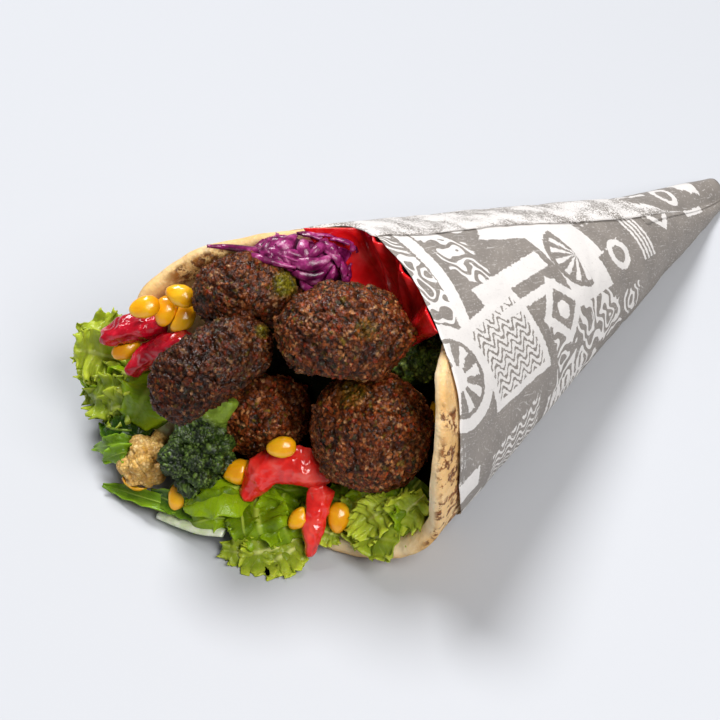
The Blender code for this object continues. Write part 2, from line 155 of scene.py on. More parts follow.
def view_ray(x, y):
    """From the camera's eye through a pixel."""
    middle = FRAME_PIXELS / 2
    return ACROSS * (x - middle) / FOCAL_PIXELS + UP * (middle - y) / FOCAL_PIXELS - OUT


def tree_of(node):
    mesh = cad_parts[node].data
    faces = [tuple(face.vertices) for face in mesh.polygons]
    return BVHTree.FromPolygons([vert.co for vert in mesh.vertices], faces)


STEP_NEARER = 14 * MM
STEP_FURTHER = 8 * MM
CARRIERS = {
    node: tree_of(node) for node in ("salad_bed", "pita", "red_cabbage", "falafel_back_left")
}


def laid(pixels, carriers):
    """Points over the carriers' solids along rays through pixels, each (x, y, lift in millimetres).

    A pixel that misses them keeps the distance of the pixel before it, and the distance changes by
    no more than a step from one pixel to the next.
    """
    found, far = [], None
    for x, y, lift in pixels:
        ray = view_ray(x, y)
        way = ray.normalized()
        hits = [CARRIERS[name].ray_cast(EYE, way)[3] for name in carriers]
        hits = [hit for hit in hits if hit]
        if hits and far is None:
            far = min(hits)
        elif hits:
            far = min(max(min(hits), far - STEP_NEARER), far + STEP_FURTHER)
        elif far is None:
            far = -EYE.z / way.z
        found.append(EYE + way * (far - lift * MM))
    return found


# Node materials


class Look:
    """One node material: each method adds a node and gives its output."""

    def __init__(self, name):
        self.material = bpy.data.materials.new(name)
        self.material.use_nodes = True
        self.nodes = self.material.node_tree.nodes
        self.links = self.material.node_tree.links
        self.shader = self.nodes["Principled BSDF"]
        self.place = self.node("ShaderNodeTexCoord", out="Object")

    def put(self, socket, value):
        if isinstance(value, bpy.types.NodeSocket):
            self.links.new(value, socket)
        elif socket.type == "RGBA" and len(value) == 3:
            socket.default_value = (*value, 1.0)
        else:
            socket.default_value = value

    def node(self, kind, inputs=None, out=0, **settings):
        made = self.nodes.new(kind)
        for key, value in settings.items():
            setattr(made, key, value)
        for key, value in (inputs or {}).items():
            self.put(made.inputs[key], value)
        return made.outputs[out]

    def math(self, operation, *values):
        return self.node("ShaderNodeMath", dict(enumerate(values)), operation=operation)

    def times(self, first, second):
        return self.math("MULTIPLY", first, second)

    def plus(self, first, second):
        return self.math("ADD", first, second)

    def minus(self, first, second):
        return self.math("SUBTRACT", first, second)

    def rest(self, value):
        """What is left of one."""
        return self.minus(1.0, value)

    def below(self, value, limit):
        return self.math("LESS_THAN", value, limit)

    def turned(self, vector, turn, scale):
        inputs = {"Vector": vector, "Rotation": (0, 0, turn), "Scale": scale}
        return self.node("ShaderNodeMapping", inputs)

    def noise(self, scale, detail=2.0, rough=0.5, where=None, out="Fac"):
        inputs = {"Vector": where or self.place, "Scale": scale, "Detail": detail, "Roughness": rough}
        return self.node("ShaderNodeTexNoise", inputs, out=out)

    def cells(self, scale, where=None, out="Distance", feature="F1", loose=1.0):
        inputs = {"Vector": where or self.place, "Scale": scale, "Randomness": loose}
        return self.node("ShaderNodeTexVoronoi", inputs, out=out, feature=feature)

    def between(self, value, low, high, start=0.0, end=1.0):
        inputs = {"Value": value, "From Min": low, "From Max": high, "To Min": start, "To Max": end}
        return self.node("ShaderNodeMapRange", inputs, clamp=True, interpolation_type="SMOOTHSTEP")

    def mix(self, share, first, second, blend="MIX"):
        inputs = {0: share, 6: first, 7: second}
        return self.node("ShaderNodeMix", inputs, out=2, data_type="RGBA", blend_type=blend)

    def steps(self, value, *stops):
        made = self.nodes.new("ShaderNodeValToRGB")
        self.put(made.inputs[0], value)
        ramp_stops = made.color_ramp.elements
        while len(ramp_stops) < len(stops):
            ramp_stops.new(0.5)
        for stop, (spot, colour) in zip(ramp_stops, stops):
            stop.position = spot
            stop.color = (*colour, 1.0)
        return made.outputs[0]

    def stored(self, name, out="Fac"):
        return self.node("ShaderNodeAttribute", out=out, attribute_name=name)

    def bump(self, *layers):
        """Bumps stacked from (height, depth in metres) pairs."""
        normal = None
        for height, depth in layers:
            inputs = {"Height": height, "Distance": depth, "Strength": 1.0}
            if normal:
                inputs["Normal"] = normal
            normal = self.node("ShaderNodeBump", inputs)
        self.put(self.shader.inputs["Normal"], normal)

    def finish(self, colour, roughness, **settings):
        self.put(self.shader.inputs["Base Color"], colour)
        self.put(self.shader.inputs["Roughness"], roughness)
        for key, value in settings.items():
            self.put(self.shader.inputs[key.replace("_", " ")], value)
        return self.material

    def flesh(self, weight, scale, radius):
        """Light that soaks into the surface, with a colour by its radius."""
        self.shader.inputs["Subsurface Weight"].default_value = weight
        self.shader.inputs["Subsurface Scale"].default_value = scale
        self.shader.inputs["Subsurface Radius"].default_value = radius


# Meshes


def new_piece(name, mesh, material, slot, *nodes):
    """A piece of the object that rides on its only body and stands for CAD nodes."""
    made = bpy.data.objects.new(name, mesh)
    bpy.context.scene.collection.objects.link(made)
    made.data.materials.clear()
    made.data.materials.append(material)
    mesh.shade_smooth()
    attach(made, "root")
    if nodes:
        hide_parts(*nodes)
    return made


def grid_mesh(name, rings, closed=True, caps=()):
    """A mesh through rings of equal length, with a fan over each ring index in caps."""
    work = bmesh.new()
    loops = [[work.verts.new(point) for point in ring] for ring in rings]
    count = len(loops[0])
    for lower, upper in zip(loops, loops[1:]):
        for i in range(count if closed else count - 1):
            j = (i + 1) % count
            work.faces.new((lower[i], lower[j], upper[j], upper[i]))
    for cap in caps:
        loop = loops[cap]
        centre = work.verts.new(sum((vert.co for vert in loop), Vector()) / count)
        for i in range(count):
            work.faces.new((loop[i], loop[(i + 1) % count], centre))
    if caps:
        bmesh.ops.recalc_face_normals(work, faces=work.faces)
    mesh = bpy.data.meshes.new(name)
    work.to_mesh(mesh)
    work.free()
    return mesh


def tinted(colour, gain):
    """A colour made lighter or darker."""
    return tuple(min(gain * part, 1.0) for part in colour)


def store(mesh, name, values):
    """Keep a number or a colour on each vertex, for the material to read."""
    kind = "FLOAT" if values.ndim == 1 else "FLOAT_COLOR"
    if values.ndim == 2 and values.shape[1] == 3:
        values = np.hstack([values, np.ones((len(values), 1))])
    layer = mesh.attributes.new(name, kind, "POINT")
    key = "value" if kind == "FLOAT" else "color"
    layer.data.foreach_set(key, values.astype(np.float32).ravel())


def coords(mesh):
    found = np.zeros(len(mesh.vertices) * 3, np.float32)
    mesh.vertices.foreach_get("co", found)
    return found.reshape(-1, 3).astype(float)


def normals(mesh):
    found = np.zeros(len(mesh.vertices) * 3, np.float32)
    mesh.vertex_normals.foreach_get("vector", found)
    return found.reshape(-1, 3).astype(float)


def place_points(mesh, points):
    mesh.vertices.foreach_set("co", points.astype(np.float32).ravel())
    mesh.update()


def dense_copy(node, voxel, smoothing, name):
    """A finely and evenly meshed copy of a CAD node, with its facets smoothed away."""
    work = bpy.data.objects.new(name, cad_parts[node].data.copy())
    bpy.context.scene.collection.objects.link(work)
    remesh = work.modifiers.new("remesh", "REMESH")
    remesh.mode = "VOXEL"
    remesh.voxel_size = voxel
    if smoothing:
        smooth = work.modifiers.new("smooth", "SMOOTH")
        smooth.factor = 0.5
        smooth.iterations = smoothing
    bpy.context.view_layer.update()
    depsgraph = bpy.context.evaluated_depsgraph_get()
    mesh = bpy.data.meshes.new_from_object(work.evaluated_get(depsgraph))
    bpy.data.objects.remove(work, do_unlink=True)
    mesh.name = name
    mesh.materials.clear()
    return mesh


def spot_noise(points, pitch, seed=0.0):
    """Smooth noise from -1 to 1 at each point, with features a pitch apart."""
    shift = Vector((seed * 7.3, seed * 3.1, seed * 5.7))
    return np.array([noise.noise(Vector(point) / pitch + shift) for point in points])


def scatter(points, spacing, area, seed):
    """Evenly random picks among points, about a spacing apart, with their nearest two for each point."""
    rng = np.random.default_rng(seed)
    count = max(8, int(area / spacing ** 2))
    picks = rng.choice(len(points), min(count, len(points)), replace=False)
    tree = kdtree.KDTree(len(picks))
    for i, pick in enumerate(picks):
        tree.insert(points[pick], i)
    tree.balance()
    first = np.zeros(len(points), int)
    near = np.zeros((len(points), 2))
    for i, point in enumerate(points):
        (_, index, close), (_, _, far) = tree.find_n(point, 2)
        first[i] = index
        near[i] = close, far
    return picks, first, near, rng


# Width of the grooves between grains, and reach of a dome, as shares of the grains' spacing
GROOVE_SHARE = 0.42
DOME_SHARE = 0.62

# Noise vectors start from the clock unless seeded, which would lay the grains anew each run
SWIRL_SEED = 7
noise.seed_set(SWIRL_SEED)


def granules(mesh, spacing, rise, tilt, groove, seed, dome=0.0, ragged=0.0, share=1.0):
    """Raise a surface into grains: flat tilted crumbs, or domes, parted by grooves, with ragged outlines.

    Share is how much of it each vertex takes. Gives each vertex its grain's number, and how deep it
    lies in a groove.
    """
    points, ways = coords(mesh), normals(mesh)
    warped = points
    if ragged:
        pitch = 0.8 * spacing
        swirl = np.array([noise.noise_vector(Vector(point) / pitch) for point in points])
        warped = points + ragged * swirl
    area = sum(face.area for face in mesh.polygons)
    picks, first, near, rng = scatter(warped, spacing, area, seed)
    heights = rng.uniform(-1, 1, len(picks)) * rise
    slopes = rng.normal(0, tilt, (len(picks), 3))
    offset = points - points[picks][first]
    gap = (near[:, 1] - near[:, 0]) / spacing
    depth = 1 - ramps(gap, 0.0, GROOVE_SHARE)
    lift = heights[first] + np.sum(slopes[first] * offset, axis=1) - groove * depth
    lift += dome * (1 - np.clip(near[:, 0] / (DOME_SHARE * spacing), 0, 1) ** 2)
    place_points(mesh, points + ways * (share * lift)[:, None])
    return first, depth, rng


# Falafel


FALAFEL_VOXEL = 0.395 * MM
FALAFEL_SMOOTHING = 18
# Dents in a ball: pitch, depth and which noise
DENTS = [(12 * MM, 1.1 * MM, 0), (5 * MM, 0.4 * MM, 3)]
CRACK_PITCH = 9 * MM
CRACK_WIDTH = 0.10
LUMP = 3.2 * MM
LUMP_FORM = {"rise": 0.17 * MM, "tilt": 0.13, "groove": 0.22 * MM, "ragged": 1.0 * MM}
CRUMB = 0.95 * MM
CRUMB_FORM = {"rise": 0.19 * MM, "tilt": 0.26, "groove": 0.24 * MM, "ragged": 0.5 * MM}
CRUMB_COLOURS = np.array([
    (0.150, 0.046, 0.016), (0.210, 0.070, 0.024), (0.085, 0.025, 0.009), (0.280, 0.110, 0.045),
    (0.260, 0.050, 0.020), (0.050, 0.017, 0.008), (0.380, 0.220, 0.130), (0.040, 0.045, 0.034),
    (0.150, 0.120, 0.018), (0.480, 0.340, 0.240),
])
CRUMB_SHARES = [0.20, 0.17, 0.15, 0.12, 0.07, 0.10, 0.07, 0.05, 0.04, 0.03]
# Green herb patches: pixel, radius in millimetres, strength
HERB_PATCHES = [
    ((285, 284), 4.5, 0.8), ((366, 330), 4.0, 0.28), ((352, 392), 5.5, 0.25), ((262, 331), 2.5, 0.45),
]
FALAFEL_TONE = np.array((1.14, 0.83, 0.50))
# Painted light and shade: each ball's crust made lighter or darker as a whole, where it differs, for how lit
# it is
BURNT = {"falafel_left": 0.44, "falafel_back_left": 0.66, "falafel_middle": 1.45, "falafel_top_right": 0.82}
CRACK_DEPTH = 0.7 * MM
HERB_GREEN = np.array((0.25, 0.24, 0.012))


def pixel_of(points):
    """Where the camera sees points, in pixels of the frame."""
    away = points - np.array(EYE)
    depth = -(away @ np.array(OUT))
    x = FRAME_PIXELS / 2 + FOCAL_PIXELS * (away @ np.array(ACROSS)) / depth
    y = FRAME_PIXELS / 2 - FOCAL_PIXELS * (away @ np.array(UP)) / depth
    return np.stack([x, y], axis=1)


def falafel_material():
    look = Look("falafel_crust")
    tint = look.noise(900, 3, 0.6)
    # The stored crumb colours carry painted shade in grooves and cracks, and each ball's painted light and
    # shade
    crumb = look.stored("crumb", out="Color")
    fine = look.mix(look.between(tint, 0.35, 0.7), (0.55, 0.5, 0.48), (1.35, 1.3, 1.25))
    colour = look.mix(1.0, crumb, fine, "MULTIPLY")
    look.bump((look.cells(1500), 0.16 * MM), (look.noise(2600, 2), 0.07 * MM))
    roughness = look.between(look.noise(700, 2), 0.3, 0.7, 0.2, 0.45)
    return look.finish(colour, roughness, Specular_IOR_Level=0.22)


def falafel(node, seed, material):
    """A fried ball: uneven, with a crust of single crumbs, darker in its grooves and cracks as painted
    shade.
    """
    mesh = dense_copy(node, FALAFEL_VOXEL, FALAFEL_SMOOTHING, node + "_crust")
    points, ways = coords(mesh), normals(mesh)
    dents = sum(deep * spot_noise(points, pitch, seed + which) for pitch, deep, which in DENTS)
    crack = 1 - ramps(np.abs(spot_noise(points, CRACK_PITCH, seed + 7)), 0.0, CRACK_WIDTH)
    dents -= CRACK_DEPTH * crack
    place_points(mesh, points + ways * dents[:, None])
    lump, _, rng = granules(mesh, LUMP, seed=seed + 40, **LUMP_FORM)
    lump_tones = rng.uniform(0.72, 1.25, lump.max() + 1)
    first, depth, rng = granules(mesh, CRUMB, seed=seed, **CRUMB_FORM)
    colours = CRUMB_COLOURS[rng.choice(len(CRUMB_COLOURS), first.max() + 1, p=CRUMB_SHARES)]
    colours = colours * rng.uniform(0.75, 1.3, (len(colours), 1))
    # Crumb colours, times each ball's painted light and shade
    shades = colours[first] * lump_tones[lump][:, None] * FALAFEL_TONE * BURNT.get(node, 1.0)
    pixels = pixel_of(coords(mesh))
    for pixel, radius, strength in HERB_PATCHES:
        away = np.linalg.norm(pixels - np.array(pixel), axis=1) * MM / PIXELS_PER_MM
        share = strength * (1 - ramps(away, radius * MM * 0.4, radius * MM * 1.2))
        shades += (HERB_GREEN - shades) * share[:, None]
    # Painted shade: crumb colours darkened in the grooves between crumbs and in the cracks
    shades *= ((1 - 0.55 * depth) * (1 - 0.45 * crack))[:, None]
    store(mesh, "crumb", shades)
    new_piece(node + "_crust", mesh, material, "falafel_crust", node)


def nodes_named(start):
    return sorted(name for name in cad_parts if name.startswith(start))


def make_falafels():
    material = falafel_material()
    for seed, node in enumerate(nodes_named("falafel"), 11):
        falafel(node, seed, material)


# Florets


FLORET_VOXEL = 0.30 * MM
FLORET_SMOOTHING = 12
# Stalk's foot in millimetres from the tip, stalk length, (size, rise) of lobes and of buds, seed
FLORETS = {
    "broccoli_front": ((-226, 21, 40), 10, (6.0, 2.7), (0.9, 0.38), 31),
    "broccoli_back": ((-168, -4, 34), 6, (5.2, 1.5), (0.85, 0.32), 37),
    "cauliflower": ((-230.5, 42, 19), 6, (5.0, 1.3), (1.0, 0.09), 41),
}


def floret(node, material, slot):
    """A head of small buds in rounded lobes, on a smooth stalk."""
    stalk_at, stalk_length, lobes, buds, seed = FLORETS[node]
    mesh = dense_copy(node, FLORET_VOXEL, FLORET_SMOOTHING, node + "_buds")
    lobe_size, lobe_rise = (size * MM for size in lobes)
    bud_size, bud_rise = (size * MM for size in buds)
    reach = stalk_length * MM
    along = np.linalg.norm(coords(mesh) - np.array(TIP + Vector(stalk_at) * MM), axis=1)
    stalk = 1 - ramps(along, reach * 0.75, reach)
    head = 1 - 0.85 * stalk
    granules(mesh, lobe_size, 0.3 * MM, 0.1, lobe_rise * 0.5, seed, dome=lobe_rise, share=head)
    first, depth, rng = granules(
        mesh, bud_size, bud_rise * 0.4, 0.2, bud_rise * 0.6, seed + 1, dome=bud_rise, share=head)
    tones = rng.uniform(0, 1, first.max() + 1) ** 3
    store(mesh, "tone", tones[first] * 0.8 * (1 - stalk))
    # Painted shade: how far each vertex is darkened for lying in a groove between buds
    store(mesh, "groove", depth * 0.85 * (1 - stalk))
    store(mesh, "stalk", stalk)
    new_piece(node + "_buds", mesh, material, slot, node)


def floret_material(name, dark, light, tip, stalk, hollow):
    look = Look(name)
    patch = look.between(look.noise(190, 2), 0.38, 0.62)
    base = look.mix(look.stored("tone"), look.mix(patch, dark, light), tip)
    # Painted shade: the grooves between buds are darkened towards a darker copy of the dark colour
    base = look.mix(look.stored("groove"), base, tinted(dark, hollow))
    streaks = look.mix(look.between(look.noise(420, 3), 0.35, 0.7), stalk, tinted(stalk, 1.6))
    colour = look.mix(look.stored("stalk"), base, streaks)
    look.bump((look.noise(2400, 2), 0.08 * MM))
    look.flesh(0.12, 0.8 * MM, (0.6, 1.0, 0.3))
    return look.finish(colour, 0.40, Specular_IOR_Level=0.35)


def make_florets():
    green = floret_material(
        "broccoli_head", (0.007, 0.016, 0.002), (0.030, 0.064, 0.006), (0.22, 0.34, 0.055),
        (0.15, 0.22, 0.018), 0.2)
    gold = floret_material(
        "cauliflower_head", (0.66, 0.35, 0.07), (0.86, 0.55, 0.16), (0.95, 0.73, 0.34),
        (0.80, 0.62, 0.33), 0.6)
    # Painted light: a lighter copy of the broccoli colours for the back floret, which lies in the shade of
    # the paper and the balls
    shaded = floret_material(
        "broccoli_painted_light", (0.030, 0.060, 0.008), (0.12, 0.22, 0.022), (0.50, 0.66, 0.12),
        (0.15, 0.24, 0.018), 0.2)
    floret("broccoli_front", green, "broccoli")
    floret("broccoli_back", shaded, "broccoli")
    floret("cauliflower", gold, "roast_cauliflower")


# Sweetcorn


CORN_VOXEL = 0.36 * MM
CORN_SMOOTHING = 10


def make_corn():
    look = Look("sweetcorn_skin")
    colour = look.steps(
        look.noise(130, 2),
        (0.30, (0.78, 0.30, 0.002)), (0.5, (0.90, 0.42, 0.004)), (0.72, (0.95, 0.56, 0.02)))
    look.bump((look.noise(260, 2), 0.25 * MM), (look.noise(1400, 2), 0.03 * MM))
    look.flesh(0.25, 1.2 * MM, (1.0, 0.55, 0.05))
    material = look.finish(colour, 0.24, Specular_IOR_Level=0.5, Coat_Weight=0.3, Coat_Roughness=0.12)
    for node in nodes_named("corn"):
        mesh = dense_copy(node, CORN_VOXEL, CORN_SMOOTHING, node + "_skin")
        new_piece(node + "_skin", mesh, material, "sweetcorn", node)


# Pepper and pickle


def pepper_material(name, dark, middle, light):
    look = Look(name)
    patch = look.noise(110, 3, 0.6)
    colour = look.steps(patch, (0.30, dark), (0.5, middle), (0.70, light))
    look.bump((look.noise(170, 3), 0.6 * MM), (look.noise(900, 2), 0.1 * MM))
    look.flesh(0.2, 1.5 * MM, (1.0, 0.08, 0.05))
    return look.finish(colour, 0.17, Specular_IOR_Level=0.5, Coat_Weight=0.4, Coat_Roughness=0.08)


def pickle_material():
    look = Look("pickle_flesh")
    run = look.turned(look.place, 0.9, (0.35, 1.0, 1.0))
    colour = look.steps(
        look.noise(260, 4, 0.6, where=run),
        (0.30, (0.24, 0.001, 0.008)), (0.52, (0.46, 0.002, 0.014)), (0.75, (0.66, 0.020, 0.045)))
    look.bump((look.noise(420, 3, 0.6, where=run), 0.55 * MM), (look.noise(1200, 2), 0.1 * MM))
    look.flesh(0.2, 1.5 * MM, (1.0, 0.06, 0.08))
    return look.finish(colour, 0.16, Specular_IOR_Level=0.4, Coat_Weight=0.4, Coat_Roughness=0.06)


def wrinkled(node, voxel, wrinkles, seed, material, slot):
    """A soft wet piece, its surface raised and sunk by wrinkles of (pitch, height)."""
    mesh = dense_copy(node, voxel, 10, node + "_flesh")
    points, ways = coords(mesh), normals(mesh)
    for pitch, height in wrinkles:
        ridge = 1 - 2 * np.abs(spot_noise(points, pitch, seed))
        points = points + ways * (height * (ridge - 0.5))[:, None]
    place_points(mesh, points)
    new_piece(node + "_flesh", mesh, material, slot, node)


# Red pepper sheet behind the pile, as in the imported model, with finer folds
SHEET_FROM = -41
SHEET_TO = 34
SHEET_OUTSIDE = 0.9 * MM
SHEET_DEPTH = 30 * MM
SHEET_SETBACK = 1 * MM
SHEET_SLOPE = 9 * MM
SHEET_HALF_THICK = 1.2 * MM
SHEET_WAVE = 1.6 * MM
SHEET_WAVES = 3.5
SHEET_FOLD = 3.4 * MM
SHEET_RISE = 2.5 * MM
SHEET_LAP = 9 * MM
SHEET_STEPS = 170
SHEET_SIDES = 64


def pepper_sheet(material):
    rings = []
    for step in range(SHEET_STEPS + 1):
        part = step / SHEET_STEPS
        degrees = SHEET_FROM + (SHEET_TO - SHEET_FROM) * part
        wave = SHEET_WAVE * math.sin(2 * math.pi * SHEET_WAVES * part)
        edge = around(PAPER_EDGE, degrees) - SHEET_SETBACK
        edge += SHEET_RISE * ramp(part, 0.4, 0.85) + SHEET_LAP * ramp(part, 0.84, 0.99)
        end = math.sqrt(max(1 - (2 * part - 1) ** 12, 0.02))
        ring = []
        for k in range(SHEET_SIDES):
            angle = 2 * math.pi * k / SHEET_SIDES
            depth = 0.5 + 0.5 * math.cos(angle)
            crease = noise.noise(Vector((part * 8 + 1.4 * depth, 1.6 * depth, 4.0)))
            fold = SHEET_FOLD * (0.5 - 2.2 * abs(crease)) * (0.35 + 0.65 * depth)
            side = math.copysign(abs(math.sin(angle)) ** 0.45, math.sin(angle))
            reach = edge - SHEET_SLOPE * depth + wave + fold + side * SHEET_HALF_THICK * end
            ring.append(cone_point(reach, degrees, SHEET_OUTSIDE + SHEET_DEPTH * depth))
        rings.append(ring)
    mesh = grid_mesh("pepper_back_flesh", rings, caps=(0, -1))
    new_piece("pepper_back_flesh", mesh, material, "red_pepper", "pepper_back")


PICKLE_WRINKLES = ((7 * MM, 0.8 * MM), (2.5 * MM, 0.3 * MM))
# Strips: node, voxel, wrinkles of (pitch, height), seed
STRIPS = [
    ("pepper_front", 0.35 * MM, ((8 * MM, 0.9 * MM), (3 * MM, 0.25 * MM)), 5),
    ("pepper_strip", 0.3 * MM, ((6 * MM, 0.7 * MM), (2.5 * MM, 0.3 * MM)), 7),
    ("pickle_back", 0.3 * MM, PICKLE_WRINKLES, 9),
    ("pickle_front", 0.3 * MM, PICKLE_WRINKLES, 13),
]


def make_strips():
    pepper_sheet(pepper_material(
        "pepper_skin", (0.52, 0.002, 0.002), (0.82, 0.010, 0.013), (0.94, 0.05, 0.055)))
    red = pepper_material("pepper_flesh", (0.50, 0.004, 0.003), (0.80, 0.020, 0.013), (0.90, 0.10, 0.07))
    pink = pickle_material()
    for node, voxel, wrinkles, seed in STRIPS:
        kind = (red, "red_pepper") if node.startswith("pepper") else (pink, "pink_pickle")
        wrinkled(node, voxel, wrinkles, seed, *kind)


# Paper


PAPER_COLUMNS = 176
PAPER_ROWS = 116
PAPER_SHEET = 0.16 * MM
PAPER_DEPTH = 0.35 * MM
PAPER_WAVER = 0.5 * MM
# Creases of the paper: pitch and height of broad and of fine facets, and depth of the folds between
FACET_PITCH = 24 * MM
FACET_HEIGHT = 0.7 * MM
FINE_PITCH = 9 * MM
FINE_HEIGHT = 0.25 * MM
FOLD_DEPTH = 0.25 * MM
FLAT_TURN = 0.243
EDGE_CURL = 0.9 * MM
SEAM = 0.25 * MM
# Plain flap along the top: where it starts, what its edge reaches to, and the tongue over the pepper
FLAP_START = 36 * MM
FLAP_TOP = 80
FLAP_TONGUE = 8 * MM
FLAP_LIFT = 0.25 * MM
# Pleat at the tip: reach along the cone in millimetres, where it starts round it, its turn, its height
TAIL_START = 12
TAIL_LENGTH = 54
TAIL_LOW = -34
TAIL_TURN = 120
TAIL_PLEAT = 5.6 * MM


def flat_spot(reach, degrees):
    """Where a point of the cone lies on the flat paper, in metres from the tip."""
    turn = math.radians(degrees) * FLAT_TURN
    return reach * math.cos(turn), reach * math.sin(turn)


def paper_point(reach, degrees, lift=0.0):
    """A point of the creased paper, lifted off its middle."""
    spot = cone_point(reach, degrees, 0.0)
    near, _ = noise.voronoi(spot / FACET_PITCH)
    fine, _ = noise.voronoi(spot / FINE_PITCH + Vector((3, 1, 2)))
    fold = FOLD_DEPTH * ramp(near[1] - near[0], 0.0, 0.1)
    crease = FACET_HEIGHT * near[0] + FINE_HEIGHT * fine[0] - fold
    room = ramp(reach, 8 * MM, 45 * MM)
    point = cone_point(reach, degrees, PAPER_DEPTH + (crease - 0.2 * MM) * room - lift)
    point.z = max(point.z, PAPER_SHEET)
    return point


def paper_edge(degrees):
    return around(PAPER_EDGE, degrees) + PAPER_WAVER * noise.noise(Vector((degrees / 22, 1.7, 0)))


def paper_sheet(name, spans, rows, columns, lift_at):
    """A sheet on the cone between two angles at each reach, with its flat place as UV."""
    rings, flats = [], []
    for row in range(rows + 1):
        ring, flat = [], []
        for column in range(columns + 1):
            reach, degrees = spans(row / rows, column / columns)
            ring.append(paper_point(reach, degrees, lift_at(row / rows, column / columns)))
            flat.append(flat_spot(reach, degrees))
        rings.append(ring)
        flats.append(flat)
    mesh = grid_mesh(name, rings, closed=False)
    layer = mesh.uv_layers.new(name="flat")
    flat_list = [spot for flat in flats for spot in flat]
    for loop in mesh.loops:
        layer.data[loop.index].uv = flat_list[loop.vertex_index]
    return mesh


def thicken(piece, thickness):
    solid = piece.modifiers.new("Thickness", "SOLIDIFY")
    solid.thickness = thickness
    solid.offset = 0.0


class Print(Look):
    """Printed paper: white shapes on grey, laid out in millimetres on the flat sheet."""

    def __init__(self, name):
        super().__init__(name)
        flat = self.node("ShaderNodeUVMap", uv_map="flat")
        flat = self.node("ShaderNodeVectorMath", {0: flat, 1: (1000, 1000, 1000)}, operation="MULTIPLY")
        wobble = self.noise(0.7, 4, 0.7, where=flat, out="Color")
        wobble = self.node("ShaderNodeVectorMath", {0: wobble, 1: (0.5, 0.5, 0.5)}, operation="SUBTRACT")
        wobble = self.node("ShaderNodeVectorMath", {0: wobble, "Scale": 2.2}, operation="SCALE")
        self.flat = flat
        self.rough_flat = self.node("ShaderNodeVectorMath", {0: flat, 1: wobble}, operation="ADD")
        self.tone = None

    def local(self, x, y, length, width, turn):
        inputs = {
            "Vector": self.rough_flat, "Location": (x, y, 0),
            "Rotation": (0, 0, math.radians(turn)), "Scale": (length / 2, width / 2, 1),
        }
        return self.node("ShaderNodeMapping", inputs, vector_type="TEXTURE")

    def parted(self, local):
        split = self.node("ShaderNodeSeparateXYZ", {0: local}, out=0).node
        return split.outputs[0], split.outputs[1]

    def away(self, x, y):
        return self.math("SQRT", self.plus(self.math("POWER", x, 2.0), self.math("POWER", y, 2.0)))

    def inside(self, local, kind):
        """1 inside a bar, a diamond, a disc or a half disc of half size 1."""
        x, y = self.parted(local)
        if kind == "bar":
            far = self.math("MAXIMUM", self.math("ABSOLUTE", x), self.math("ABSOLUTE", y))
        elif kind == "diamond":
            far = self.plus(self.math("ABSOLUTE", x), self.math("ABSOLUTE", y))
        else:
            far = self.away(x, y)
            if kind == "half":
                far = self.plus(far, self.times(self.below(y, 0.0), 2.0))
        return self.below(far, 1.0)

    def pattern(self, local, kind, count):
        """Repeats inside a shape: stripes along it, rays or rings round it, dots, waves or loops over it."""
        x, y = self.parted(local)
        if kind == "stripes":
            return self.below(self.math("FRACT", self.times(x, count / 2)), 0.52)
        if kind == "rays":
            swing = self.math("SINE", self.times(self.math("ARCTAN2", y, x), float(count)))
            return self.math("GREATER_THAN", swing, 0.1)
        if kind == "rings":
            return self.below(self.math("FRACT", self.times(self.away(x, y), float(count))), 0.45)
        if kind == "waves":
            bend = self.times(self.math("SINE", self.times(x, 14.0)), 0.12)
            rows = self.times(self.plus(y, bend), count / 2)
            return self.below(self.math("FRACT", rows), 0.4)
        if kind == "scribble":
            loops = self.times(self.noise(0.075, 1.5, 0.5, where=self.flat), float(count))
            return self.below(self.math("FRACT", loops), 0.42)
        cells = self.cells(count / 2, where=local, loose=0.15)
        return self.below(cells, 0.3)

    def lay(self, shape, x, y, length, width, turn, tone, pattern=None, count=0):
        local = self.local(x, y, length, width, turn)
        share = self.inside(local, shape)
        if pattern:
            share = self.times(share, self.pattern(local, pattern, count))
        kept = self.times(self.tone, self.rest(share)) if self.tone else 0.0
        self.tone = self.plus(kept, self.times(share, tone))


